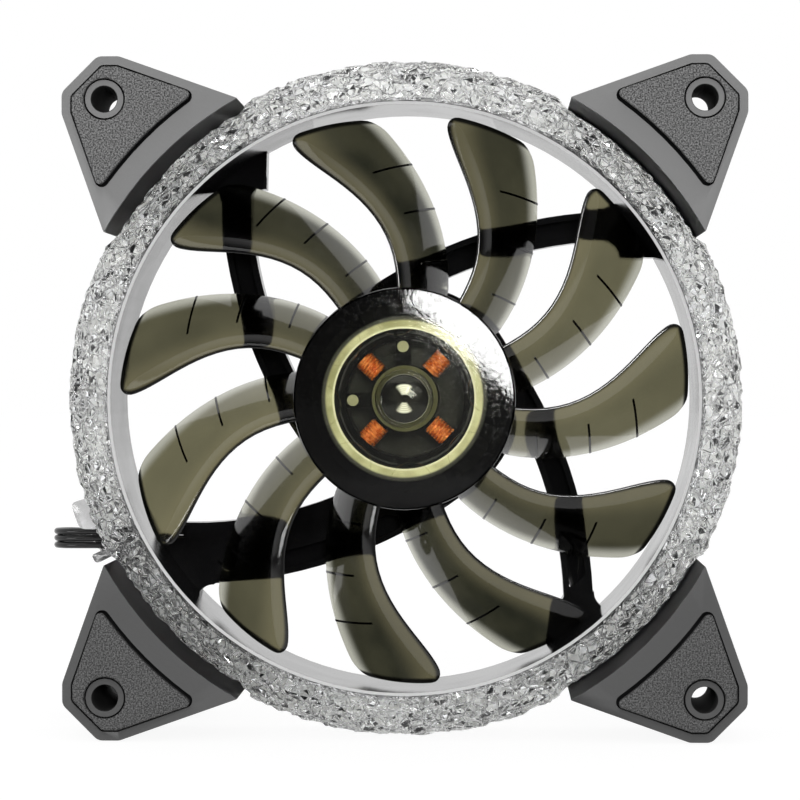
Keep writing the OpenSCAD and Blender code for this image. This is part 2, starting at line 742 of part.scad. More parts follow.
module yoke() color([0.75, 0.73, 0.55]) upright() rotate_extrude() polygon([
    [yoke_r - yoke_t, yoke_z], [yoke_r, yoke_z], [yoke_r, yoke_top], [magnet_in, yoke_top],
    [magnet_in, yoke_top - lip_t], [yoke_r - yoke_t, yoke_top - lip_t]
]);
module magnet_ring() color([0.2, 0.2, 0.2]) upright()
    pipe(magnet_in, magnet_r, yoke_z + 0.4, yoke_top - lip_t - fit - yoke_z - 0.4);
module shaft_insert() color([0.8, 0.8, 0.8]) upright() difference() {
    translate([0, 0, insert_z]) cylinder(r = insert_r, h = cap_z - fit - insert_z);
    translate([0, 0, insert_z - eps]) cylinder(r = shaft_r + fit / 2, h = cap_z - insert_z - 0.6);
}
module shaft() color([0.7, 0.7, 0.72]) upright() difference() {
    translate([0, 0, shaft_z]) cylinder(r = shaft_r, h = cap_z - 0.8 - shaft_z);
    pipe(groove_r, shaft_r + eps, clip_z - fit, clip_t + 2 * fit);
}
module retaining_clip() color([0.85, 0.85, 0.85]) upright() difference() {
    pipe(groove_r + fit / 2, tube_in - 0.5, clip_z, clip_t);
    translate([0, -0.4, clip_z - eps]) cube([tube_in, 0.8, clip_t + 2 * eps]);
}

// Lead: three wires side by side, wound flat into a tied coil behind the fan
function beside(path, k) =
    [for (i = [0:len(path) - 1]) path[i] + k * wire_pitch * square_to(along(path, i), [0, 0, 1])];
module wire(k) color([0.05, 0.05, 0.05])
    tube(beside([for (p = lead_points) lead_point(p)], k), wire_r, 8, [0, 0, 1]);
function turn_point(s, k) =
    coil_centre + polar(lead_coil_r + lead_turn_pitch * s, coil_first_angle + 360 * s, k * wire_pitch);
function tail_point(p, k) =
    let (from = coil_h + k * wire_pitch, to = tail_h + connector_size[2] / 2 + k * terminal_pitch)
    [tail_x + p[0], tail_y + p[1], mix(from, to, p[2])];
function wire_coil_path(k) =
    concat(
        [for (i = [0:lead_turns * loop_steps]) turn_point(i / loop_steps, k)],
        [for (p = tail_points) tail_point(p, k)]
    );
module wire_coil(k) color([0.05, 0.05, 0.05])
    tube(wire_coil_path(k), wire_r, 6, [0, 0, 1]);
module lead_connector() color([0.08, 0.08, 0.08])
    translate([tail_x, tail_y - connector_size[1] / 2, tail_h]) difference() {
        cube(connector_size);
        for (k = wires)
            translate([1, connector_size[1] / 2 - 0.9, connector_size[2] / 2 + k * terminal_pitch - 0.9])
            cube([connector_size[0], 1.8, 1.8]);
    }
module connector_terminals() color([0.75, 0.6, 0.25])
    translate([tail_x + 1.3, tail_y - 0.7, tail_h + connector_size[2] / 2 - 0.7])
        for (k = wires) translate([0, 0, k * terminal_pitch]) cube([connector_size[0] - 4.3, 1.4, 1.4]);
module coil_tie() color([0.1, 0.1, 0.1]) {
    last_turn = tie_turn + floor(lead_turns - tie_turn);
    bulge = tie_w ^ 2 / (8 * lead_coil_r);
    inner = lead_coil_r + tie_turn * lead_turn_pitch - wire_r - tie_gap - bulge;
    outer = lead_coil_r + last_turn * lead_turn_pitch + wire_r + tie_gap;
    half = lead_half_w + tie_gap;
    angle = coil_first_angle + 360 * tie_turn;
    translate(coil_centre) rotate(angle) translate([0, -tie_w / 2, 0]) difference() {
        translate([inner - tie_t, 0, -half - tie_t])
            cube([outer - inner + 2 * tie_t, tie_w, 2 * (half + tie_t)]);
        translate([inner, -eps, -half]) cube([outer - inner, tie_w + 2 * eps, 2 * half]);
    }
}

echo("Least gap of a coil's winding to itself, mm", least_gap(winding_path(), coil_wire_d));
echo("Least gap of a wire's coil to itself, mm", least_gap(wire_coil_path(0), wire_d));

frame();
crystal_ring();
led_board();
leds();
lead_guide();
rear_label();
for (k = [1:4]) pad(k, front_z - pad_depth);
for (k = [1:4]) pad(k, rear_z - pad_proud);
bearing_tube();
sleeve_bearing();
thrust_cap();
stator_core();
bobbin_front();
bobbin_rear();
for (k = [1:4]) coil(k);
driver_board();
hall_sensor();
board_parts();
inner_leads();
impeller();
yoke();
magnet_ring();
shaft_insert();
shaft();
retaining_clip();
for (k = [1:3]) wire(wires[k - 1]);
for (k = [1:3]) wire_coil(wires[k - 1]);
lead_connector();
connector_terminals();
coil_tie();
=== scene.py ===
# Case fan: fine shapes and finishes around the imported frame
import math

import bmesh
import bpy
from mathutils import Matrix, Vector


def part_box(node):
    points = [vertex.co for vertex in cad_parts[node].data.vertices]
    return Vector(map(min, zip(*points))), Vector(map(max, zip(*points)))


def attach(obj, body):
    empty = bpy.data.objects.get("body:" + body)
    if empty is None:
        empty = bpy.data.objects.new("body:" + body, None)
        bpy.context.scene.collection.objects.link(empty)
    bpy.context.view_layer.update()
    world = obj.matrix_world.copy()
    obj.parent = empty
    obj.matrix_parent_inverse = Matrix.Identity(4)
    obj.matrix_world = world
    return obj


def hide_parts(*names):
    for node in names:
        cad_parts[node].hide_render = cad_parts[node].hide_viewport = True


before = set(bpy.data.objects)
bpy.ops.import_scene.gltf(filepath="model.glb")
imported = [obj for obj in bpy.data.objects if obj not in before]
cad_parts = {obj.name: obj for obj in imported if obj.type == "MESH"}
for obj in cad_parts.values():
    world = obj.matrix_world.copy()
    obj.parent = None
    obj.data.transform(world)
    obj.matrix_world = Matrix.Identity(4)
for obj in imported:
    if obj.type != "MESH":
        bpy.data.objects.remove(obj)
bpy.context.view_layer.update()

# Units and places: lengths are millimetres with the fan lying on its rear, unless a comment says otherwise
MM = 0.001
AXIS_H = sum(corner.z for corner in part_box("shaft")) / 2
REAR_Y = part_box("pad_rear_1")[1].y
FRAME_BODY = "frame_body"
ROTOR_BODY = "rotor"
SCREW_PLACE = 0.0525  # metres from the axis, across and up


def fan_point(x, y, z):
    """Place in metres of a point of the lying fan."""
    return Vector((x * MM, REAR_Y - z * MM, y * MM + AXIS_H))


def polar(radius, degrees, z):
    turn = math.radians(degrees)
    return fan_point(radius * math.cos(turn), radius * math.sin(turn), z)


def levels(node):
    """Rear and front level of a CAD node."""
    low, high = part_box(node)
    return (REAR_Y - high.y) / MM, (REAR_Y - low.y) / MM


def radius_of(node):
    low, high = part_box(node)
    return (high.x - low.x) / 2 / MM


# Node trees written as expressions
class Value:
    """A node's output. Arithmetic on it adds Math nodes to its tree."""

    def __init__(self, tree, socket):
        self.tree = tree
        self.socket = socket

    def math(self, operation, *operands):
        return self.tree.node("ShaderNodeMath", {"operation": operation}, dict(enumerate(operands)))

    def __add__(self, other):
        return self.math("ADD", self, other)

    def __sub__(self, other):
        return self.math("SUBTRACT", self, other)

    def __rsub__(self, other):
        return self.math("SUBTRACT", other, self)

    def __mul__(self, other):
        return self.math("MULTIPLY", self, other)

    def __truediv__(self, other):
        return self.math("DIVIDE", self, other)

    def __rtruediv__(self, other):
        return self.math("DIVIDE", other, self)

    def __pow__(self, other):
        return self.math("POWER", self, other)

    __radd__ = __add__
    __rmul__ = __mul__

    def sqrt(self):
        return self.math("SQRT", self)

    def sin(self):
        return self.math("SINE", self)

    def cos(self):
        return self.math("COSINE", self)

    def at_least(self, other):
        return self.math("MAXIMUM", self, other)

    def at_most(self, other):
        return self.math("MINIMUM", self, other)

    def step(self, start, end, low=0.0, high=1.0):
        """A smooth step from low to high while the value goes from start to end."""
        places = {0: self, 1: start, 2: end, 3: low, 4: high}
        return self.tree.node("ShaderNodeMapRange", {"interpolation_type": "SMOOTHSTEP"}, places)


class Tree:
    """A node tree, with one method that adds any node."""

    def __init__(self, tree):
        self.tree = tree

    def node(self, kind, settings=None, inputs=None, out=0):
        made = self.tree.nodes.new(kind)
        for name, value in (settings or {}).items():
            setattr(made, name, value)
        for place, value in (inputs or {}).items():
            self.feed(made.inputs[place], value)
        return Value(self, made.outputs[out])

    def feed(self, socket, value):
        if isinstance(value, Value):
            self.tree.links.new(value.socket, socket)
        else:
            socket.default_value = value

    def split(self, vector):
        return [self.node("ShaderNodeSeparateXYZ", None, {0: vector}, axis) for axis in range(3)]

    def vector(self, x, y, z):
        return self.node("ShaderNodeCombineXYZ", None, {0: x, 1: y, 2: z})

    def blend(self, share, first, second):
        """A colour between two colours."""
        return self.node("ShaderNodeMix", {"data_type": "RGBA"}, {0: share, 6: first, 7: second}, 2)

    def rays(self, *kinds):
        """For each kind of ray, 1 where the ray is of that kind."""
        return [self.node("ShaderNodeLightPath", out=f"Is {kind} Ray") for kind in kinds]

    def seen(self):
        """1 for rays from the camera and for what gloss and clear plastic show."""
        camera, glossy, through = self.rays("Camera", "Glossy", "Transmission")
        return camera.at_least(glossy).at_least(through)


# Finishes
def colour(red, green, blue):
    """A colour given by its picture values from 0 to 255."""
    def linear(value):
        share = value / 255
        return share / 12.92 if share <= 0.04045 else ((share + 0.055) / 1.055) ** 2.4
    return (linear(red), linear(green), linear(blue), 1.0)


class Finish(Tree):
    """A material: its tree, its main shader and the place on the object that its patterns read."""

    def __init__(self, name, **constants):
        self.material = bpy.data.materials.new(name)
        self.material.use_nodes = True
        super().__init__(self.material.node_tree)
        self.main = self.tree.nodes["Principled BSDF"]
        self.place = self.node("ShaderNodeTexCoord", out="Object")
        self.set(**constants)

    def set(self, **values):
        for name, value in values.items():
            self.feed(self.main.inputs[name.replace("_", " ").title().replace("Ior", "IOR")], value)

    def axis_radius(self):
        """Distance from the fan's axis, in metres."""
        x, _, z = self.split(self.place)
        up = z - AXIS_H
        return (x * x + up * up).sqrt()

    def noise(self, scale, detail=2.0):
        """Noise from 0 to 1 with that many waves a metre."""
        inputs = {"Vector": self.place, "Scale": scale, "Detail": detail}
        return self.node("ShaderNodeTexNoise", None, inputs).step(0.3, 0.7)

    def cell_edge(self, scale):
        """Distance to the nearest edge of irregular cells, with that many cells a metre."""
        inputs = {"Vector": self.place, "Scale": scale}
        return self.node("ShaderNodeTexVoronoi", {"feature": "DISTANCE_TO_EDGE"}, inputs)

    def attribute(self, label):
        return self.node("ShaderNodeAttribute", {"attribute_name": label}, out="Fac")

    def bump(self, height, distance, strength=1.0):
        inputs = {"Strength": strength, "Distance": distance * MM, "Height": height}
        self.set(normal=self.node("ShaderNodeBump", None, inputs))

    def let_lamps_through(self, tint):
        """Rays from lamps pass the surface with that tint, so that they light what is behind it."""
        lamp_ray = self.rays("Shadow")[0]
        film = self.node("ShaderNodeBsdfTransparent", None, {0: tint})
        shader = Value(self, self.main.outputs[0])
        mixed = self.node("ShaderNodeMixShader", None, {0: lamp_ray, 1: shader, 2: film})
        self.feed(self.tree.nodes["Material Output"].inputs[0], mixed)


# Where the frame's finishes begin and end, in metres from a screw's middle, from the axis, back or up, among
# them the painted shade in the screw holes, the painted sheen on the corners, the painted highlight on the
# rim and the painted light that grows upwards
HOLE_SHADE_EDGE = (0.00242, 0.00234)
CORNER_EDGE = (0.0596, 0.0600)
CORNER_DEPTH = (-0.0106, -0.0112)
RIM_HIGHLIGHT_EDGE = (0.0523, 0.0522)
RIM_HIGHLIGHT_DEPTH = (-0.0118, -0.0120)
SATIN_EDGE = (0.0583, 0.0586)
PAINTED_LIGHT_UP = (0.02, 0.1)


def frame_plastic():
    """Glossy black moulding with satin corners painted grey, a painted sheen that is lighter above as
    painted light from above, a pale rim that is a painted highlight, and screw holes painted dark as painted
    shade.
    """
    finish = Finish("black_plastic")
    across, depth, height = finish.split(finish.place)
    up = height - AXIS_H
    aside = (across * across).sqrt() - SCREW_PLACE
    above = (up * up).sqrt() - SCREW_PLACE
    # Painted shade: the screw holes are painted nearly black, and made rough
    hole_shade = (aside * aside + above * above).sqrt().step(*HOLE_SHADE_EDGE)
    radius = finish.axis_radius()
    grain = finish.noise(1400.0)
    cloud = finish.noise(90.0)
    corner = radius.step(*CORNER_EDGE) * depth.step(*CORNER_DEPTH)
    # Painted highlight: the duct's front rim is painted pale
    rim = radius.step(*RIM_HIGHLIGHT_EDGE) * depth.step(*RIM_HIGHLIGHT_DEPTH)
    satin = radius.step(*SATIN_EDGE).at_least(rim)
    black = finish.blend(cloud, colour(20, 20, 21), colour(27, 27, 28))
    # Painted sheen: the corners are painted grey, lighter towards the top as painted light from above
    grey = finish.blend(height.step(*PAINTED_LIGHT_UP), colour(86, 86, 86), colour(140, 140, 140))
    plain = finish.blend(corner, black, grey)
    finish.set(
        base_color=finish.blend(hole_shade, finish.blend(rim, plain, colour(215, 215, 215)), colour(9, 9, 9)),
        roughness=0.13 + satin * 0.3 + hole_shade * 0.8 + cloud * 0.04,
    )
    finish.bump(grain * corner, 0.02, 0.4)
    return finish.material


def clear_plastic():
    """Clear acrylic, a little cloudy here and there, with fine cracks."""
    finish = Finish("clear_plastic", transmission_weight=1.0, ior=1.49)
    cloud = finish.noise(300.0)
    finish.set(
        base_color=finish.blend(cloud, (0.93, 0.94, 0.95, 1), (1.0, 1.0, 1.0, 1)),
        roughness=0.01 + cloud * 0.03,
    )
    finish.bump(finish.cell_edge(430.0).step(0.0, 0.08), 0.25, 0.8)
    finish.let_lamps_through((0.92, 0.92, 0.93, 1))
    return finish.material


def clip_plastic():
    """The lead's clip: clear plastic, a little grey."""
    finish = Finish("clip_plastic", transmission_weight=0.9, ior=1.49)
    cloud = finish.noise(400.0)
    finish.set(
        base_color=finish.blend(cloud, (0.5, 0.5, 0.5, 1), (0.66, 0.66, 0.66, 1)),
        roughness=0.08 + cloud * 0.1,
    )
    finish.let_lamps_through((0.7, 0.7, 0.7, 1))
    return finish.material


def blade_plastic():
    """Smoked plastic of the blades: pale behind, golden ahead, lighter or darker from blade to blade as
    painted light and shade, and black along the leading edge and the tip as painted shade.
    """
    finish = Finish("smoked_blade", transmission_weight=1.0, ior=1.46)
    chord, span, painted_light = [finish.attribute(label) for label in ("chord", "span", "painted_light")]
    cloud = finish.noise(70.0, 4.0)
    speck = finish.noise(1500.0)
    # Painted light and shade: each blade is lighter or darker by its angle round the fan, with a random
    # cloud
    share = painted_light * painted_light * 0.8 + cloud * 0.2
    olive = finish.blend(share, (0.02, 0.021, 0.014, 1), (0.17, 0.16, 0.095, 1))
    golden = finish.blend(chord.step(0.55, 0.9) * 0.4, olive, (0.24, 0.215, 0.12, 1))
    pale = finish.blend(chord.step(0.2, 0.03), golden, (0.48, 0.48, 0.41, 1))
    # Painted shade: the leading edge and the tip are painted black
    edge = chord.step(0.93, 0.975).at_least(span.step(0.965, 0.982))
    finish.set(
        base_color=finish.blend(edge, pale, (0.004, 0.004, 0.003, 1)),
        roughness=0.06 + speck * 0.05,
    )
    finish.let_lamps_through((0.2, 0.2, 0.13, 1))
    return finish.material


CAP_DEPTH = 1.8  # from the hub's front to behind its cap


def hub_plastic():
    """Smoked plastic of the hub: scuffed and see-through in front, with painted shade that darkens the cap
    beyond the yoke and makes it nearly black round its wall and ribs.
    """
    finish = Finish("smoked_hub", transmission_weight=1.0, ior=1.46)
    scuff = finish.noise(1500.0, 4.0)
    radius = finish.axis_radius()
    _, depth, _ = finish.split(finish.place)
    cap_back = REAR_Y - (levels("impeller")[1] - CAP_DEPTH) * MM
    # Painted shade: the ribs behind the cap, and the wall beyond the cap's edge, are painted nearly black
    rib_shade = radius.step(0.0144, 0.0146) * depth.step(cap_back, cap_back + 0.0002)
    dark = rib_shade.at_least(radius.step(0.0190, 0.0193))
    # Smoked tint: clear over the yoke, darker beyond it as painted shade
    smoke_and_shade = finish.blend(radius.step(0.0142, 0.0148), (0.72, 0.72, 0.62, 1), (0.1, 0.1, 0.085, 1))
    finish.set(
        base_color=finish.blend(dark, smoke_and_shade, (0.012, 0.012, 0.01, 1)),
        roughness=0.02 + scuff ** 3 * 0.1,
    )
    finish.bump(scuff, 0.012, 0.14)
    finish.let_lamps_through((0.85, 0.85, 0.76, 1))
    return finish.material


def insert_steel():
    """Turned steel with painted light: a bright middle with two painted highlights fanning over its rings,
    painted dark reflection elsewhere, and a dark groove round it as painted shade.
    """
    finish = Finish("shaft_insert", metallic=1.0)
    radius = finish.axis_radius()
    _, _, height = finish.split(finish.place)
    up = (height - AXIS_H) / radius.at_least(0.0002)
    # Painted highlights: two fans of light at the top and bottom of the turned rings
    fan = (up * up).step(0.55, 0.95)
    rings = (radius * 17000.0).sin() * 0.5 + 0.5
    # Painted shade: a dark groove round the bright middle and a dark dot at the centre
    groove = radius.step(0.0024, 0.0027).at_least(radius.step(0.0009, 0.0006))
    # The rest of the face is painted dark, a painted reflection of the dark room
    bright = finish.blend(fan * (0.6 + rings * 0.4), colour(26, 26, 26), colour(225, 225, 222))
    finish.set(base_color=finish.blend(groove, bright, colour(14, 14, 14)), roughness=0.3 + rings * 0.15)
    finish.bump(rings, 0.01, 0.5)
    return finish.material


def pad_rubber():
    """Grained grey rubber, lighter towards the top as painted light from above."""
    finish = Finish("pad_rubber")
    _, _, height = finish.split(finish.place)
    grain = finish.noise(3600.0)
    # Painted light from above: the rubber is lighter towards the top
    up = height.step(*PAINTED_LIGHT_UP)
    pit = finish.blend(up, colour(22, 22, 22), colour(34, 34, 34))
    crest = finish.blend(up, colour(112, 112, 112), colour(142, 142, 142))
    finish.set(base_color=finish.blend(grain, pit, crest), roughness=0.7 + grain * 0.2)
    finish.bump(grain, 0.08, 0.8)
    return finish.material


def wire_sleeve():
    """Black sleeve of the wires, with faint scuffs."""
    finish = Finish("wire_black")
    scuff = finish.noise(500.0, 3.0)
    finish.set(
        base_color=finish.blend(scuff, colour(9, 9, 9), colour(16, 16, 16)),
        roughness=0.16 + scuff * 0.1,
    )
    finish.bump(scuff, 0.02, 0.3)
    return finish.material


def speckled(name, dark, light, scale, rough=(0.4, 0.55), metallic=0.0):
    """A plain finish with fine mottling: paint, plastic, cast or sintered metal."""
    finish = Finish(name, metallic=metallic)
    grain = finish.noise(scale, 3.0)
    low, high = rough
    finish.set(base_color=finish.blend(grain, dark, light), roughness=low + grain * (high - low))
    finish.bump(grain, 0.02, 0.5)
    return finish.material


def turned(name, dark, light, waves):
    """Metal with fine rings round the fan's axis, as a lathe leaves them."""
    finish = Finish(name, metallic=1.0)
    rings = (finish.axis_radius() * waves).sin() * 0.5 + 0.5
    spots = finish.noise(450.0, 3.0)
    share = rings * 0.4 + spots * 0.6
    finish.set(base_color=finish.blend(share, dark, light), roughness=0.22 + share * 0.16)
    finish.bump(rings, 0.01, 0.5)
    return finish.material


def bobbin_plastic():
    """Black bobbin with a pale collar and pale tops on its pegs."""
    finish = Finish("bobbin_front", specular_ior_level=0.0)
    _, depth, _ = finish.split(finish.place)
    grain = finish.noise(800.0)
    peg_cap = 0.35
    peg_top = REAR_Y - (levels("bobbin_front")[1] - peg_cap) * MM
    radius = finish.axis_radius()
    collar = radius.step(0.0046, 0.0047) * radius.step(0.0059, 0.0057)
    pale = depth.step(peg_top + 0.0001, peg_top).at_least(collar)
    black = finish.blend(grain, colour(7, 7, 7), colour(13, 13, 13))
    cream = finish.blend(collar, colour(190, 189, 160), colour(104, 103, 74))
    finish.set(base_color=finish.blend(pale, black, cream), roughness=0.45 + grain * 0.1)
    finish.bump(grain, 0.02, 0.4)
    return finish.material


def board_mask(name, ground, track, scale):
    """Solder mask with faint tracks under it."""
    finish = Finish(name, specular_ior_level=0.2)
    line = finish.cell_edge(scale).step(0.04, 0.08)
    finish.set(base_color=finish.blend(line, track, ground), roughness=0.3 + line * 0.1)
    finish.bump(line, 0.02, 0.4)
    return finish.material


def yoke_steel():
    """Pale plated steel of the yoke's lip, with a painted highlight along its inner edge and painted shade
    that darkens it outside.
    """
    finish = Finish("yoke_steel", metallic=0.2)
    radius = finish.axis_radius()
    cloud = finish.noise(160.0, 3.0)
    # Painted shade: dark outside the lip's outer edge
    lip = radius.step(0.0141, 0.0136)
    # Painted highlight: brightest along the lip's inner edge
    line = radius.step(0.0128, 0.0125)
    pale = finish.blend(cloud, colour(150, 149, 108), colour(222, 221, 186))
    bright = finish.blend(line, pale, colour(238, 237, 214))
    finish.set(base_color=finish.blend(lip, colour(30, 30, 26), bright), roughness=0.35 + cloud * 0.15)
    finish.bump((radius * 21000.0).sin(), 0.01, 0.4)
    return finish.material


def laminations():
    """Stacked steel sheets, seen as fine lines across the axis."""
    finish = Finish("lamination", metallic=0.9)
    _, depth, _ = finish.split(finish.place)
    sheet_t = 0.5 * MM
    sheet = (depth * (2 * math.pi / sheet_t)).sin() * 0.5 + 0.5
    finish.set(
        base_color=finish.blend(sheet, colour(40, 40, 43), colour(84, 84, 88)),
        roughness=0.35 + sheet * 0.2,
    )
    finish.bump(sheet, 0.05, 0.6)
    return finish.material


FINISHES = {
    "frame": frame_plastic(),
    "clear": clear_plastic(),
    "clip": clip_plastic(),
    "blade": blade_plastic(),
    "hub": hub_plastic(),
    "pad": pad_rubber(),
    "wire": wire_sleeve(),
    "bobbin": bobbin_plastic(),
    "lamination": laminations(),
    "copper": speckled("copper", colour(232, 104, 32), colour(255, 158, 78), 1200.0, (0.22, 0.36), 0.3),
    "yoke": yoke_steel(),
    "insert": insert_steel(),
    "steel": turned("steel", colour(150, 150, 152), colour(215, 215, 218), 15000.0),
    "brass": turned("bearing_brass", colour(150, 110, 50), colour(196, 152, 84), 18000.0),
    "terminal": speckled(
        "terminal_brass", colour(150, 115, 50), colour(200, 165, 90), 700.0, (0.25, 0.4), 1.0,
    ),
    "magnet": speckled("magnet", colour(34, 33, 32), colour(52, 50, 48), 1100.0, (0.6, 0.75)),
    "chip": speckled("black_matte", colour(18, 18, 18), colour(32, 32, 32), 1300.0, (0.5, 0.7)),
    "cream": speckled("pale_plastic", colour(196, 195, 163), colour(212, 211, 182), 700.0),
    "white_board": board_mask("board_white", colour(232, 232, 228), colour(214, 214, 208), 380.0),
    "green_board": board_mask("board_green", colour(5, 12, 8), colour(10, 21, 15), 420.0),
    "light": speckled("light", colour(214, 214, 212), colour(236, 236, 235), 500.0, (0.3, 0.45)),
    "label": speckled("label", colour(186, 186, 188), colour(202, 202, 204), 600.0, (0.35, 0.5), 0.3),
}


# Making pieces
def new_piece(name, mesh, finish, body, *nodes, slot=None):
    """A piece of that mesh, riding on a body in place of those CAD nodes."""
    piece = bpy.data.objects.new(name, mesh)
    bpy.context.scene.collection.objects.link(piece)
    if finish:
        piece.data.materials.clear()
        piece.data.materials.append(FINISHES[finish])
    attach(piece, body)
    if nodes:
        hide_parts(*nodes)
    return piece


def shade(mesh, degrees=35.0):
    """Smooth shading, with edges kept sharp above that angle."""
    mesh.shade_smooth()
    mesh.set_sharp_from_angle(angle=math.radians(degrees))
    return mesh


def evaluated(piece):
    """The piece's mesh with its modifiers applied; the piece itself is removed."""
    bpy.context.view_layer.update()
    result = piece.evaluated_get(bpy.context.evaluated_depsgraph_get())
    mesh = bpy.data.meshes.new_from_object(result)
    bpy.data.objects.remove(piece)
    return mesh


def faced_out(mesh):
    """The mesh with its faces turned outwards."""
    shape = bmesh.new()
    shape.from_mesh(mesh)
    bmesh.ops.recalc_face_normals(shape, faces=shape.faces)
    shape.to_mesh(mesh)
    shape.free()
    return mesh


def round_along_axis(shape, width):
    """Rounds the sharp edges that run along the fan's axis."""
    sharp = []
    for edge in shape.edges:
        line = edge.verts[1].co - edge.verts[0].co
        along = line.length > MM and abs(line.y) > 0.999 * line.length
        if along and edge.is_convex and edge.calc_face_angle(0.0) > math.radians(40):
            sharp.append(edge)
    bmesh.ops.bevel(shape, geom=sharp, offset=width * MM, segments=5, profile=0.5, affect="EDGES")


def bevelled(node, width, segments=2, axis_width=0.0):
    """A copy of a CAD node's mesh with rounded edges; axis_width is for the edges along the axis."""
    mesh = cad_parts[node].data.copy()
    shape = bmesh.new()
    shape.from_mesh(mesh)
    bmesh.ops.remove_doubles(shape, verts=shape.verts, dist=1e-6)
    flat = {"angle_limit": math.radians(0.2), "verts": shape.verts, "edges": shape.edges}
    bmesh.ops.dissolve_limit(shape, use_dissolve_boundaries=False, **flat)
    if axis_width:
        round_along_axis(shape, axis_width)
    shape.to_mesh(mesh)
    shape.free()
    piece = bpy.data.objects.new(node + "_rounded", mesh)
    bpy.context.scene.collection.objects.link(piece)
    rounding = piece.modifiers.new("rounding", "BEVEL")
    rounding.width = width * MM
    rounding.segments = segments
    rounding.limit_method = "ANGLE"
    rounding.angle_limit = math.radians(30)
    rounding.use_clamp_overlap = True
    return shade(evaluated(piece), 40.0)


def slimmed(mesh, gap):
    """A pad's mesh with its edge by the ring drawn back, which leaves a wider groove there."""
    reach = [math.hypot(vert.co.x, vert.co.z - AXIS_H) for vert in mesh.vertices]
    nearest = min(reach)
    fade = 3 * MM
    for vert, far in zip(mesh.vertices, reach):
        share = max(0.0, 1 - (far - nearest) / fade)
        out = Vector((vert.co.x, 0, vert.co.z - AXIS_H)).normalized()
        vert.co += out * (gap * MM * share)
    return mesh


def lathe(name, profile, steps):
    """A surface of revolution through (radius, level) points, from the fan's axis to the axis."""
    shape = bmesh.new()
    rows = []
    for radius, z in profile:
        if radius < 1e-6:
            rows.append([shape.verts.new(fan_point(0, 0, z))])
        else:
            rows.append([shape.verts.new(polar(radius, 360 * k / steps, z)) for k in range(steps)])
    for row, after in zip(rows, rows[1:]):
        for k in range(steps):
            m = (k + 1) % steps
            corners = [row[k % len(row)], row[m % len(row)], after[m % len(after)], after[k % len(after)]]
            unique = list(dict.fromkeys(corners))
            if len(unique) > 2:
                shape.faces.new(unique)
    bmesh.ops.recalc_face_normals(shape, faces=shape.faces)
    mesh = bpy.data.meshes.new(name)
    shape.to_mesh(mesh)
    shape.free()
    return shade(mesh)


def rounded(points, radius, steps):
    """A polyline's points with its inner corners cut to arcs of about that radius."""
    result = [Vector(points[0])]
    for before, corner, after in zip(points, points[1:], points[2:]):
        corner = Vector(corner)
        back = Vector(before) - corner
        ahead = Vector(after) - corner
        reach = min(radius, back.length * 0.45, ahead.length * 0.45)
        start = corner + back.normalized() * reach
        end = corner + ahead.normalized() * reach
        for k in range(steps + 1):
            t = k / steps
            result.append(start * (1 - t) ** 2 + corner * 2 * t * (1 - t) + end * t ** 2)
    result.append(Vector(points[-1]))
    return result


# Geometry Nodes
# Turn of the painted light and shade that the copies round the axis carry
PAINTED_LIGHT_TURN = math.radians(17)


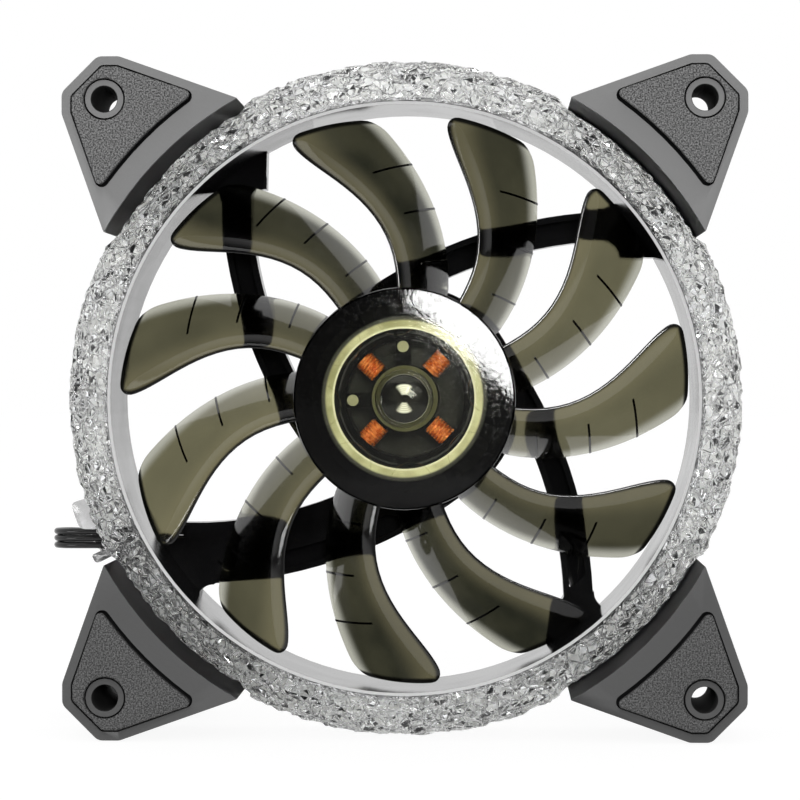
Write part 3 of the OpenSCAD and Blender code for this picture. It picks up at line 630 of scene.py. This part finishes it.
class Growth(Tree):
    """A Geometry Nodes tree with named sizes, run once on a start mesh or curve."""

    def __init__(self, name, **sizes):
        self.group = bpy.data.node_groups.new(name, "GeometryNodeTree")
        super().__init__(self.group)
        self.group.interface.new_socket("Geometry", in_out="INPUT", socket_type="NodeSocketGeometry")
        self.group.interface.new_socket("Geometry", in_out="OUTPUT", socket_type="NodeSocketGeometry")
        self.sizes = {}
        for label, value in sizes.items():
            kind = "NodeSocketInt" if isinstance(value, int) else "NodeSocketFloat"
            socket = self.group.interface.new_socket(label, in_out="INPUT", socket_type=kind)
            self.sizes[socket.identifier] = value
        self.inputs = self.tree.nodes.new("NodeGroupInput")
        self.output = self.tree.nodes.new("NodeGroupOutput")

    def size(self, label):
        return Value(self, self.inputs.outputs[label])

    def start(self):
        return Value(self, self.inputs.outputs["Geometry"])

    def join(self, *parts):
        made = self.tree.nodes.new("GeometryNodeJoinGeometry")
        for part in parts:
            self.tree.links.new(part.socket, made.inputs[0])
        return Value(self, made.outputs[0])

    def circle(self, steps, radius):
        return self.node("GeometryNodeCurvePrimitiveCircle", None, {0: steps, 4: radius})

    def placed(self, geometry, position):
        return self.node("GeometryNodeSetPosition", None, {0: geometry, "Position": position})

    def upright(self, x, y, z):
        """Place of a point of the lying fan, in metres."""
        return self.vector(x * MM, REAR_Y - z * MM, y * MM + AXIS_H)

    def round_axis(self, geometry, count, first_turn=0.0):
        """Copies of a geometry, drawn about the z axis of the lying fan, spread evenly round it, each
        lighter or darker by its angle as painted light and shade.
        """
        points = self.node("GeometryNodePoints", None, {0: count})
        turn = self.node("GeometryNodeInputIndex") * (2 * math.pi / count) + first_turn
        inputs = {"Points": points, "Instance": geometry, "Rotation": self.vector(0.0, 0.0, turn)}
        copies = self.node("GeometryNodeInstanceOnPoints", None, inputs)
        # Painted light and shade: each copy is lighter or darker by its angle round the axis
        painted_light = ((turn + PAINTED_LIGHT_TURN) * 2).cos() * 0.5 + 0.5
        painted_light_copies = self.named(copies, "painted_light", painted_light, "INSTANCE")
        return self.node("GeometryNodeRealizeInstances", None, {0: painted_light_copies})

    def stand_up(self, geometry):
        """A geometry drawn in millimetres for the lying fan, set in its place."""
        x, y, z = self.split(self.node("GeometryNodeInputPosition"))
        return self.placed(geometry, self.upright(x, y, z))

    def named(self, geometry, label, value, domain="POINT"):
        settings = {"data_type": "FLOAT", "domain": domain}
        return self.node("GeometryNodeStoreNamedAttribute", settings, {0: geometry, 2: label, 3: value})

    def dressed(self, geometry, finish):
        plain = self.node("GeometryNodeRealizeInstances", None, {0: geometry})
        return self.node("GeometryNodeSetMaterial", None, {0: plain, 2: FINISHES[finish]})

    def run(self, result, start=None):
        """The tree's result as a plain mesh."""
        self.tree.links.new(result.socket, self.output.inputs[0])
        piece = bpy.data.objects.new(self.group.name, start or bpy.data.meshes.new(self.group.name))
        bpy.context.scene.collection.objects.link(piece)
        modifier = piece.modifiers.new("growth", "NODES")
        modifier.node_group = self.group
        for identifier, value in self.sizes.items():
            modifier[identifier] = value
        return evaluated(piece)


# Camera
CAMERA_PLACE = Vector((0.015, -0.5125, 0.0642))
AIM_POINT = Vector((-0.00063, -0.0125, 0.0598))
LENS_MM = 128.9


def make_camera():
    lens = bpy.data.cameras.new("camera")
    lens.sensor_width = 36.0
    lens.lens = LENS_MM
    camera = bpy.data.objects.new("camera", lens)
    camera.location = CAMERA_PLACE
    camera.rotation_euler = (AIM_POINT - CAMERA_PLACE).to_track_quat("-Z", "Y").to_euler()
    bpy.context.scene.collection.objects.link(camera)
    bpy.context.scene.camera = camera


make_camera()

# Lead: three wires side by side, wound flat into a tied coil behind the fan, in the part's own frame
WIRE_D = 1.2
WIRE_PITCH = 1.25
LEAD_EXIT = Vector((-58.0, 8.6, 34.35))
COIL_CENTRE = Vector((-51.8, 33.0, 2.35))
COIL_R = 5.3
COIL_TURNS = 4.25
TURN_PITCH = 1.4
TURN_STEPS = 24
CONNECTOR_ENTRY = Vector((-56.0, 25.0, 8.25))
TERMINAL_PITCH = 2.54
LEAD_POINTS = [
    (0, 0, 1), (-2.4, 0, 1), (-4.45, 0.55, 0.999), (-5.95, 2.05, 0.998), (-6.5, 4.1, 0.996),
    (-5.95, 6.15, 0.994), (-4.45, 7.65, 0.992), (-2.4, 8.2, 0.989), (0.3, 8.35, 0.984), (2.9, 8.9, 0.97),
    (5.3, 10, 0.945), (7.3, 11.6, 0.905), (8.9, 13.4, 0.85), (10.2, 15.2, 0.775), (11.2, 16.8, 0.69),
    (11.9, 18.1, 0.6), (12.4, 19.2, 0.505), (12.7, 20.2, 0.41), (12.8, 21.2, 0.32), (12.6, 22.5, 0.235),
    (12, 24.2, 0.155), (10.85, 26.1, 0.1), (9.6, 28.2, 0.045), (7.9, 29.35, 0.006),
]
TAIL_POINTS = [
    (-6.95, 5.8, 0.015), (-6.5, 3.7, 0.18), (-5.4, 1.8, 0.5), (-3.6, 0.5, 0.86), (-1.5, 0, 1), (0, 0, 1),
]


def lead_route():
    """Middle of the free stretch: along x and y from the exit, and the share of the drop that is left."""
    drop = LEAD_EXIT.z - COIL_CENTRE.z
    foot = Vector((LEAD_EXIT.x, LEAD_EXIT.y, COIL_CENTRE.z))
    return [foot + Vector((x, y, share * drop)) for x, y, share in LEAD_POINTS]


def beside(route, k):
    """The route of the wire k places above the middle one."""
    moved = []
    for i, point in enumerate(route):
        along = (route[min(i + 1, len(route) - 1)] - route[max(i - 1, 0)]).normalized()
        up = Vector((0, 0, 1))
        moved.append(point + k * WIRE_PITCH * (up - up.dot(along) * along).normalized())
    return moved


def coil_route(k):
    """The coil, and the tail that rises from its last turn to the connector lying on it."""
    start = COIL_CENTRE + Vector((0, 0, k * WIRE_PITCH))
    route = []
    for i in range(int(COIL_TURNS * TURN_STEPS) + 1):
        s = i / TURN_STEPS
        turn = math.pi / 2 + 2 * math.pi * s
        reach = COIL_R + TURN_PITCH * s
        route.append(start + Vector((reach * math.cos(turn), reach * math.sin(turn), 0)))
    rise = CONNECTOR_ENTRY.z + k * TERMINAL_PITCH - start.z
    for x, y, share in TAIL_POINTS:
        route.append(Vector((CONNECTOR_ENTRY.x + x, CONNECTOR_ENTRY.y + y, start.z + share * rise)))
    return route


def smooth(points, steps=4):
    """More points along a curve through those points."""
    ends = [2 * points[0] - points[1]] + points + [2 * points[-1] - points[-2]]
    result = []
    for a, b, c, d in zip(ends, ends[1:], ends[2:], ends[3:]):
        for k in range(steps):
            t = k / steps
            bend = 2 * a - 5 * b + 4 * c - d
            twist = 3 * b - a - 3 * c + d
            result.append(b + 0.5 * t * (c - a) + 0.5 * t * t * bend + 0.5 * t ** 3 * twist)
    return result + [points[-1]]


def thread(name, routes, diameter):
    """Round wires along those routes, in metres."""
    curve = bpy.data.curves.new(name, "CURVE")
    curve.dimensions = "3D"
    curve.bevel_depth = diameter / 2
    curve.bevel_resolution = 4
    curve.use_fill_caps = True
    for route in routes:
        spline = curve.splines.new("POLY")
        spline.points.add(len(route) - 1)
        for point, place in zip(spline.points, route):
            point.co = (*place, 1.0)
        spline.use_smooth = True
    return curve


def make_wire(k):
    path = [point * MM for point in smooth(beside(lead_route(), k) + coil_route(k))]
    number = k + 2
    curve = thread("lead_wire", [path], WIRE_D * MM)
    nodes = [f"wire_{number}", f"wire_coil_{number}"]
    wire = new_piece(f"lead_wire_{number}", curve, "wire", FRAME_BODY, *nodes, slot="wire_black")


def make_lead():
    shell = bevelled("lead_connector", 0.25)
    housing = new_piece("connector_housing", shell, "chip", FRAME_BODY, "lead_connector", slot="black_matte")
    strap = bevelled("coil_tie", 0.12)
    tie = new_piece("lead_tie", strap, "wire", FRAME_BODY, "coil_tie", slot="wire_black")
    for k in (-1, 0, 1):
        make_wire(k)


make_lead()

# Wires inside the fan, from its board along a strut to the exit
CABLE_CENTRE = Vector((-38.99, 48.85))
CABLE_ARC_R = 74.5
CABLE_LEVEL = 3.9
CABLE_FIRST_TURN = 303.0
CABLE_LAST_TURN = 270.0
CABLE_STEPS = 24


def inner_route(k):
    reach = CABLE_ARC_R - k * WIRE_PITCH
    route = []
    for i in range(CABLE_STEPS + 1):
        turn = math.radians(CABLE_FIRST_TURN + (CABLE_LAST_TURN - CABLE_FIRST_TURN) * i / CABLE_STEPS)
        x = CABLE_CENTRE.x + reach * math.cos(turn)
        route.append(fan_point(x, CABLE_CENTRE.y + reach * math.sin(turn), CABLE_LEVEL))
    return route + [fan_point(LEAD_EXIT.x, CABLE_CENTRE.y - reach, CABLE_LEVEL)]


inner_wires = thread("inner_wires", [inner_route(k) for k in (-1, 0, 1)], WIRE_D * MM)
new_piece("inner_wires", inner_wires, "wire", FRAME_BODY, "inner_leads", slot="wire_black")

# Frame, pads and the lead's clip
FRAME_EDGE = 0.2
PAD_EDGE = 0.3
PAD_GAP = 0.45
CLIP_END = 0.9

moulding = bevelled("frame", FRAME_EDGE)
new_piece("frame_moulding", moulding, "frame", FRAME_BODY, "frame", slot="black_plastic")
for side in ("front", "rear"):
    for number in range(1, 5):
        node = f"pad_{side}_{number}"
        pad = slimmed(bevelled(node, PAD_EDGE, 3), PAD_GAP)
        new_piece(f"{side}_pad_{number}", pad, "pad", FRAME_BODY, node, slot="pad_rubber")
clip = bevelled("lead_guide", FRAME_EDGE, axis_width=CLIP_END)
new_piece("lead_clip", clip, "clip", FRAME_BODY, "lead_guide", slot="clear_plastic")

# Clear ring: a section swept round the axis, broken into shards and drawn in beside the frame's corners
RING_COLUMNS = 320
RING_ROWS = 11
SIDE_ROWS = 6
RING_SEED = 11
CREST_R = 52.3
WALL_R = 52.7
RING_DOME = 5.0
RING_TAPER = 1.9
SHARD_DEPTH = 0.8
SHARD_SPREAD = 0.48  # of a column's width
RING_MIDDLE = 55.0
CORNER_SHARE = 0.24
CORNER_REACH = 0.34  # square of the cosine of twice the angle where a corner ends
CORNER_FADE = 0.08


def ring_section():
    """The ring's section as (radius, level) points, from its crest over the dome and back inside."""
    rear, front = levels("crystal_ring")
    outer = radius_of("crystal_ring") + SHARD_DEPTH / 2
    shoulder = front - RING_DOME
    points = []
    for j in range(RING_ROWS + 1):
        t = math.pi / 2 * (1 - j / RING_ROWS)
        points.append((CREST_R + (outer - CREST_R) * math.cos(t), shoulder + RING_DOME * math.sin(t)))
    for j in range(1, SIDE_ROWS + 1):
        points.append((outer, shoulder + (rear - shoulder) * j / SIDE_ROWS))
    return points + [(WALL_R, rear), (WALL_R, front - RING_TAPER)]


def make_ring():
    section = ring_section()
    count = len(section)
    shape = bmesh.new()
    rough = shape.verts.layers.float.new("rough")
    turns = [2 * math.pi * k / RING_COLUMNS for k in range(RING_COLUMNS)]
    rows = [[shape.verts.new((r, turn, z)) for r, z in section] for turn in turns]
    for k in range(RING_COLUMNS):
        after = rows[(k + 1) % RING_COLUMNS]
        for j in range(count):
            m = (j + 1) % count
            shape.faces.new((rows[k][j], after[j], after[m], rows[k][m]))
    # The rear and the inner wall stay plain, and the crest nearly so
    shares = [0.25] + [1.0] * (count - 4) + [0.0] * 3
    for row in rows:
        for vert, share in zip(row, shares):
            vert[rough] = share
    mesh = bpy.data.meshes.new("ring_start")
    shape.to_mesh(mesh)
    shape.free()
    tree = Growth("clear_ring", Depth=SHARD_DEPTH, Spread=SHARD_SPREAD, Seed=RING_SEED)
    radius, angle, z = tree.split(tree.node("GeometryNodeInputPosition"))
    mask = tree.node("GeometryNodeInputNamedAttribute", {"data_type": "FLOAT"}, {0: "rough"})

    def draw(offset):
        seed = tree.size("Seed") + offset
        return tree.node("FunctionNodeRandomValue", {"data_type": "FLOAT"}, {2: -1.0, 3: 1.0, 8: seed}, 1)

    column = 2 * math.pi / RING_COLUMNS
    depth = tree.size("Depth") * mask
    across = (angle * 2).cos()
    corner = ((CORNER_REACH - across * across) / CORNER_FADE).at_least(0.0).at_most(1.0)
    drawn_in = (radius - RING_MIDDLE).at_least(0.0) * corner * mask * CORNER_SHARE
    moved_r = radius - drawn_in - depth * (draw(0) * 0.4 + 0.4)
    moved_z = z - depth * (draw(1) * 0.6 + 0.6)
    moved_angle = angle + draw(2) * mask * tree.size("Spread") * column
    x = moved_r * moved_angle.cos()
    y = moved_r * moved_angle.sin()
    broken = tree.placed(tree.start(), tree.upright(x, y, moved_z))
    shards = tree.node("GeometryNodeTriangulate", None, {0: broken})
    flat = tree.node("GeometryNodeSetShadeSmooth", None, {0: shards, 2: False})
    made = faced_out(tree.run(tree.dressed(flat, "clear"), mesh))
    new_piece("faceted_ring", made, "clear", FRAME_BODY, "crystal_ring", slot="clear_plastic")


make_ring()

# Rotor moulding: a lathed hub, and blades that follow one rule
BLADES = 11
HUB_R = 19.6
HUB_WALL = 1.2
HUB_CROWN = 0.4
HUB_REAR = 6.3
HUB_EDGE = 0.25
CAP_T = 1.5
ROOT_R = 19.0
TIP_R = 50.5
TIP_ROUND = 2.6
SOCKET_R = 4.25
SOCKET_WALL = 0.9
ROOT_T = 1.5
TIP_T = 1.1
BLADE_REAR = 7.5
BLADE_FRONT = 20.7
LEADING_ROOT = 28.25  # degrees, as the next three
LEADING_SWEEP = 20.5
TRAILING_ROOT = 2.4
TRAILING_SWEEP = 28.6
TIP_CHORD = 19.5
TIP_RAISE = 0.3
TIP_DROP = 1.2
CAMBER = 1.5  # power of the blade's curve
RIB_RADII = (25.9, 34.6, 42.2)
RIB_DROP = 1.8
RIB_CHORD = 0.56
RIB_W = 0.32
RIB_LIFT = 0.12
YOKE_R = radius_of("yoke")
HUB_RIBS = 8
HUB_RIB_T = 1.6
HUB_RIB_REAR = 9.3
SINK = 0.05  # how far a rib reaches into its neighbours
HUB_RIB_TURN = math.radians(31)
MARK_R = 3.8
MARK_WIRE_R = 0.06
MARK_PLACE_R = 15.0
MARK_TURN = math.radians(5)


def hub_mesh():
    """The hub's lathed shell: a crowned cap, a round wall and the socket of the shaft's insert."""
    front = levels("impeller")[1]
    cap = front - CAP_T
    inner = HUB_R - HUB_WALL
    socket_out = SOCKET_R + SOCKET_WALL
    socket_rear = levels("shaft_insert")[0] + 0.4

    def sag(radius):
        return HUB_CROWN * (radius / HUB_R) ** 2

    face = [(r, front - sag(r)) for r in (0, 4, 8, 12, 15, 17, 18.2, 19.2)]
    back = [(r, cap + sag(YOKE_R) - sag(r)) for r in (inner, 17, 14, 11, 8, socket_out)]
    wall = [face[-1], (HUB_R, face[-1][1] - 0.5), (HUB_R, HUB_REAR), (inner, HUB_REAR), back[0]]
    socket = [back[-1], (socket_out, socket_rear), (SOCKET_R, socket_rear), (SOCKET_R, cap), (0, cap)]
    rim = [tuple(point) for point in rounded(wall, HUB_EDGE, 2)]
    tube = [tuple(point) for point in rounded(socket, HUB_EDGE, 2)]
    return lathe("hub", face + rim[1:] + back[1:] + tube[1:], 160)


def span_share(radius):
    """How far out a radius lies on a blade, from 0 at the hub to 1 at the tip."""
    return ((radius - HUB_R) / (TIP_R - HUB_R)).at_least(0.0)


def blade_place(tree, chord, radius, lift):
    """A point of the first blade, by its share of the chord, its radius and its lift off the middle."""
    s = span_share(radius)
    lean = s ** 1.2
    leading = LEADING_ROOT + LEADING_SWEEP * (lean * lean * (3 - 2 * lean))
    trailing = TRAILING_ROOT + TRAILING_SWEEP * s
    over = (radius - (TIP_R - TIP_ROUND)).at_least(0.0)
    inset = TIP_ROUND - (TIP_ROUND ** 2 - over * over).at_least(0.0).sqrt()
    trim = inset / TIP_CHORD
    f = trim + chord * (1 - 2 * trim)
    sweep = (leading - trailing) * math.radians(1)
    low = BLADE_REAR + TIP_RAISE * s
    rise = BLADE_FRONT - TIP_DROP * s - low
    ahead = 1 - f
    z = low + rise * (1 - ahead ** CAMBER)
    slope_z = rise * CAMBER * ahead ** (CAMBER - 1)
    slope_turn = radius * sweep
    length = (slope_z * slope_z + slope_turn * slope_turn).sqrt()
    turn = trailing * math.radians(1) + f * sweep - lift * slope_z / length / radius
    level = z + lift * slope_turn / length
    return tree.vector(radius * turn.cos(), radius * turn.sin(), level)


def blade_thickness(chord, s):
    middle = 2 * chord - 1
    edge = (1 - (middle * middle) ** 6).at_least(0.0).sqrt()
    return (ROOT_T + (TIP_T - ROOT_T) * s) * (0.45 + 2.2 * chord * (1 - chord)) * (0.3 + 0.7 * edge)


def block(tree, x_steps, y_steps):
    """A block of grid points and the shares of its width and length and its side."""
    inputs = {0: (1.0, 1.0, 1.0), 1: x_steps, 2: y_steps, 3: 2}
    shape = tree.node("GeometryNodeMeshCube", None, inputs)
    x, y, z = tree.split(tree.node("GeometryNodeInputPosition"))
    return shape, x + 0.5, y + 0.5, z * 2


def grow_blade(tree):
    shape, across, out, side = block(tree, 30, 26)
    chord = 0.5 - (across * math.pi).cos() * 0.5
    radius = ROOT_R + (TIP_R - ROOT_R) * (1 - (1 - out) ** 1.7)
    s = span_share(radius)
    place = blade_place(tree, chord, radius, side * blade_thickness(chord, s) / 2)
    shape = tree.named(shape, "chord", chord)
    shape = tree.named(shape, "span", s)
    return tree.placed(shape, place)


def grow_rib(tree, rib_r):
    shape, across, out, side = block(tree, 14, 2)
    chord = across * RIB_CHORD
    radius = rib_r + (out - 0.5) * RIB_W - across * RIB_DROP
    s = span_share(radius)
    place = blade_place(tree, chord, radius, blade_thickness(chord, s) / 2 + side * RIB_LIFT)
    shape = tree.named(shape, "chord", 1.0)
    shape = tree.named(shape, "span", 1.0)
    return tree.placed(shape, place)


def grow_hub_rib(tree):
    shape, across, out, side = block(tree, 4, 2)
    inner = HUB_R - HUB_WALL
    front = levels("impeller")[1] - CAP_T + SINK
    x = YOKE_R + SINK + across * (inner - YOKE_R)
    level = HUB_RIB_REAR + (side * 0.5 + 0.5) * (front - HUB_RIB_REAR)
    return tree.placed(shape, tree.vector(x, (out - 0.5) * HUB_RIB_T, level))


def grow_mark(tree):
    """A fine raised circle that an ejector pin leaves inside the hub's front."""
    outline = {0: tree.circle(48, MARK_R), 1: tree.circle(6, MARK_WIRE_R)}
    ring = tree.node("GeometryNodeCurveToMesh", None, outline)
    x, y, z = tree.split(tree.node("GeometryNodeInputPosition"))
    level = z + levels("impeller")[1] - CAP_T - MARK_WIRE_R / 2
    return tree.placed(ring, tree.vector(x + MARK_PLACE_R, y, level))


def make_rotor():
    tree = Growth("rotor_moulding", Blades=BLADES, Ribs=HUB_RIBS)
    blade = tree.join(grow_blade(tree), *[grow_rib(tree, rib_r) for rib_r in RIB_RADII])
    blades = tree.stand_up(tree.round_axis(blade, tree.size("Blades")))
    ribs = tree.stand_up(tree.round_axis(grow_hub_rib(tree), tree.size("Ribs"), HUB_RIB_TURN))
    marks = tree.stand_up(tree.round_axis(grow_mark(tree), tree.size("Ribs"), MARK_TURN))
    hub = tree.join(tree.start(), ribs, marks)
    whole = tree.join(tree.dressed(hub, "hub"), tree.dressed(blades, "blade"))
    mesh = shade(faced_out(tree.run(whole, hub_mesh())), 40.0)
    new_piece("rotor_moulding", mesh, None, ROTOR_BODY, "impeller", slot="smoked_plastic")


make_rotor()

# Coils: a wire wound round a block of inner layers on each arm
ARM_TURN = 47.0
COIL_START = 6.33
COIL_END = 10.3
COIL_BLOCK_W = 2.8
COIL_BLOCK_H = 10.9
COIL_WIRE_D = 0.5
WINDING_TURNS = 6
WINDING_STEPS = 28  # points in a turn
LAYER_INSET = 0.1
STATOR_MID = 12.0


def on_arm(arm, along, across):
    """Place of a point along and across an arm of the lying stator."""
    turn = math.radians(ARM_TURN + 90 * arm)
    x = along * math.cos(turn) - across * math.sin(turn)
    y = along * math.sin(turn) + across * math.cos(turn)
    return x, y


def winding_mesh(arm):
    tree = Growth(f"winding_{arm}", Turns=WINDING_TURNS, Wire=COIL_WIRE_D)
    steps = WINDING_TURNS * WINDING_STEPS
    line = tree.node("GeometryNodeMeshLine", None, {0: steps + 1})
    share = tree.node("GeometryNodeInputIndex") / steps
    turn = share * tree.size("Turns") * (2 * math.pi)
    reach = COIL_BLOCK_W / 2 + COIL_WIRE_D * 0.3
    straight = (COIL_BLOCK_H - COIL_BLOCK_W) / 2
    across = turn.cos() * reach
    rise = turn.sin()
    level = rise * reach + (rise * 6).at_least(-1.0).at_most(1.0) * straight
    along = COIL_START + COIL_WIRE_D / 2 + share * (COIL_END - COIL_START - COIL_WIRE_D)
    x, y = on_arm(arm, along, across)
    wound = tree.placed(line, tree.upright(x, y, level + STATOR_MID))
    route = tree.node("GeometryNodeMeshToCurve", None, {0: wound})
    section = tree.circle(8, tree.size("Wire") * (MM / 2))
    wire = tree.node("GeometryNodeCurveToMesh", None, {0: route, 1: section, "Fill Caps": True})
    return tree.run(tree.dressed(wire, "copper"))


def inner_layers(arm):
    """The block of inner layers under the winding: a rounded sleeve along the arm."""
    shape = bmesh.new()
    steps = 12
    edge = COIL_BLOCK_W / 2
    half = COIL_BLOCK_H / 2 - edge
    outline = []
    for end in (1, -1):
        for k in range(steps + 1):
            turn = math.pi * k / steps
            outline.append((end * math.cos(turn) * edge, end * (half + math.sin(turn) * edge)))
    ends = []
    for along in (COIL_START + LAYER_INSET, COIL_END - LAYER_INSET):
        row = []
        for across, level in outline:
            x, y = on_arm(arm, along, across)
            row.append(shape.verts.new(fan_point(x, y, level + STATOR_MID)))
        ends.append(row)
    count = len(outline)
    for k in range(count):
        m = (k + 1) % count
        shape.faces.new((ends[0][k], ends[0][m], ends[1][m], ends[1][k]))
    for row in ends:
        shape.faces.new(row)
    bmesh.ops.recalc_face_normals(shape, faces=shape.faces)
    return shape


def make_coil(arm):
    shape = inner_layers(arm)
    shape.from_mesh(winding_mesh(arm))
    mesh = bpy.data.meshes.new("coil")
    shape.to_mesh(mesh)
    shape.free()
    node = f"coil_{arm + 1}"
    new_piece(f"winding_{arm + 1}", shade(mesh), "copper", FRAME_BODY, node, slot="copper")


for arm in range(4):
    make_coil(arm)

# Finishes of the CAD nodes that stay
NODE_FINISHES = {
    "led_board": "white_board", "leds": "light", "rear_label": "label", "bearing_tube": "brass",
    "sleeve_bearing": "brass", "thrust_cap": "cream", "stator_core": "lamination", "bobbin_front": "bobbin",
    "bobbin_rear": "chip", "driver_board": "green_board", "hall_sensor": "chip", "board_parts": "chip",
    "yoke": "yoke", "magnet_ring": "magnet", "shaft_insert": "insert", "shaft": "steel",
    "retaining_clip": "steel", "connector_terminals": "terminal",
}
for node, finish in NODE_FINISHES.items():
    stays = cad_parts[node]
    stays.data.materials.clear()
    stays.data.materials.append(FINISHES[finish])

# Studio: a white floor and world, a key light by the camera, a wide light above and a low one on the left
WORLD_LIGHT = 0.55
DARK_ROOM = 0.1
LIT_ROOM = 0.2
FLOOR_SHADOW = 0.15
FLOOR_REACH = 4.0
FLOOR_LEVEL = -0.0002
FLOOR_GLOW = 1.08
# Where the floor and the room before the fan turn from dark to white in what gloss and clear plastic show
GLOSS_FLOOR = (-0.24, -0.12)
CLEAR_FLOOR = (-0.5, -0.24)
ROOM_TURN = (-0.8, -0.3)


def make_floor():
    mesh = bpy.data.meshes.new("floor")
    sides = ((-1, -1), (1, -1), (1, 1), (-1, 1))
    corners = [(x * FLOOR_REACH, y * FLOOR_REACH, FLOOR_LEVEL) for x, y in sides]
    mesh.from_pydata(corners, [], [(0, 1, 2, 3)])
    floor = bpy.data.objects.new("floor", mesh)
    bpy.context.scene.collection.objects.link(floor)
    finish = Finish("floor_white", roughness=0.8)
    seen = finish.seen()
    finish.set(base_color=finish.blend(seen, (0.3, 0.3, 0.3, 1), (0.95, 0.95, 0.95, 1)))
    camera, through = finish.rays("Camera", "Transmission")
    _, back, _ = finish.split(finish.place)
    clear = back.step(*CLEAR_FLOOR, DARK_ROOM, 1.0) * through
    near = back.step(*GLOSS_FLOOR, DARK_ROOM, 1.0).at_least(camera.at_least(clear))
    glow = finish.node("ShaderNodeEmission", None, {0: (1, 1, 1, 1), 1: near * FLOOR_GLOW})
    matte = Value(finish, finish.main.outputs[0])
    share = seen * (1 - FLOOR_SHADOW)
    mixed = finish.node("ShaderNodeMixShader", None, {0: share, 1: matte, 2: glow})
    finish.feed(finish.tree.nodes["Material Output"].inputs[0], mixed)
    mesh.materials.append(finish.material)


def make_world():
    """White behind the fan and in the picture, and darker before it in what gloss and clear plastic show."""
    world = bpy.data.worlds.new("studio")
    bpy.context.scene.world = world
    world.use_nodes = True
    tree = Tree(world.node_tree)
    _, back, _ = tree.split(tree.node("ShaderNodeTexCoord", out="Generated"))
    camera, through = tree.rays("Camera", "Transmission")
    front = DARK_ROOM + through * (LIT_ROOM - DARK_ROOM)
    room = (front + back.step(*ROOM_TURN) * (1 - front)).at_least(camera)
    seen = tree.seen()
    background = world.node_tree.nodes["Background"]
    tree.feed(background.inputs["Strength"], seen * room + (1 - seen) * WORLD_LIGHT)
    tree.feed(background.inputs["Color"], (1, 1, 1, 1))


def soft_box(name, place, target, size, power, roll=0.0):
    """A rectangular lamp at a place, turned to a target."""
    lamp = bpy.data.lights.new(name, "AREA")
    lamp.shape = "RECTANGLE"
    lamp.size, lamp.size_y = size
    lamp.energy = power
    box = bpy.data.objects.new(name, lamp)
    box.location = place
    box.rotation_euler = (Vector(target) - Vector(place)).to_track_quat("-Z", "Y").to_euler()
    box.rotation_euler.rotate_axis("Z", math.radians(roll))
    bpy.context.scene.collection.objects.link(box)


make_floor()
make_world()
FAN_MIDDLE = (0, 0, AXIS_H)
FAN_LOWER_LEFT = (-0.02, 0, 0.03)
soft_box("key_light", (0.052, -0.52, 0.116), FAN_MIDDLE, size=(0.115, 0.07), power=0.75, roll=-42)
soft_box("top_light", (0.0, -0.7, 0.46), FAN_MIDDLE, size=(0.8, 0.3), power=1.2)
soft_box("fill_light", (-0.3, -0.34, 0.045), FAN_LOWER_LEFT, size=(0.2, 0.07), power=0.4)
bpy.context.scene.view_settings.view_transform = "Standard"
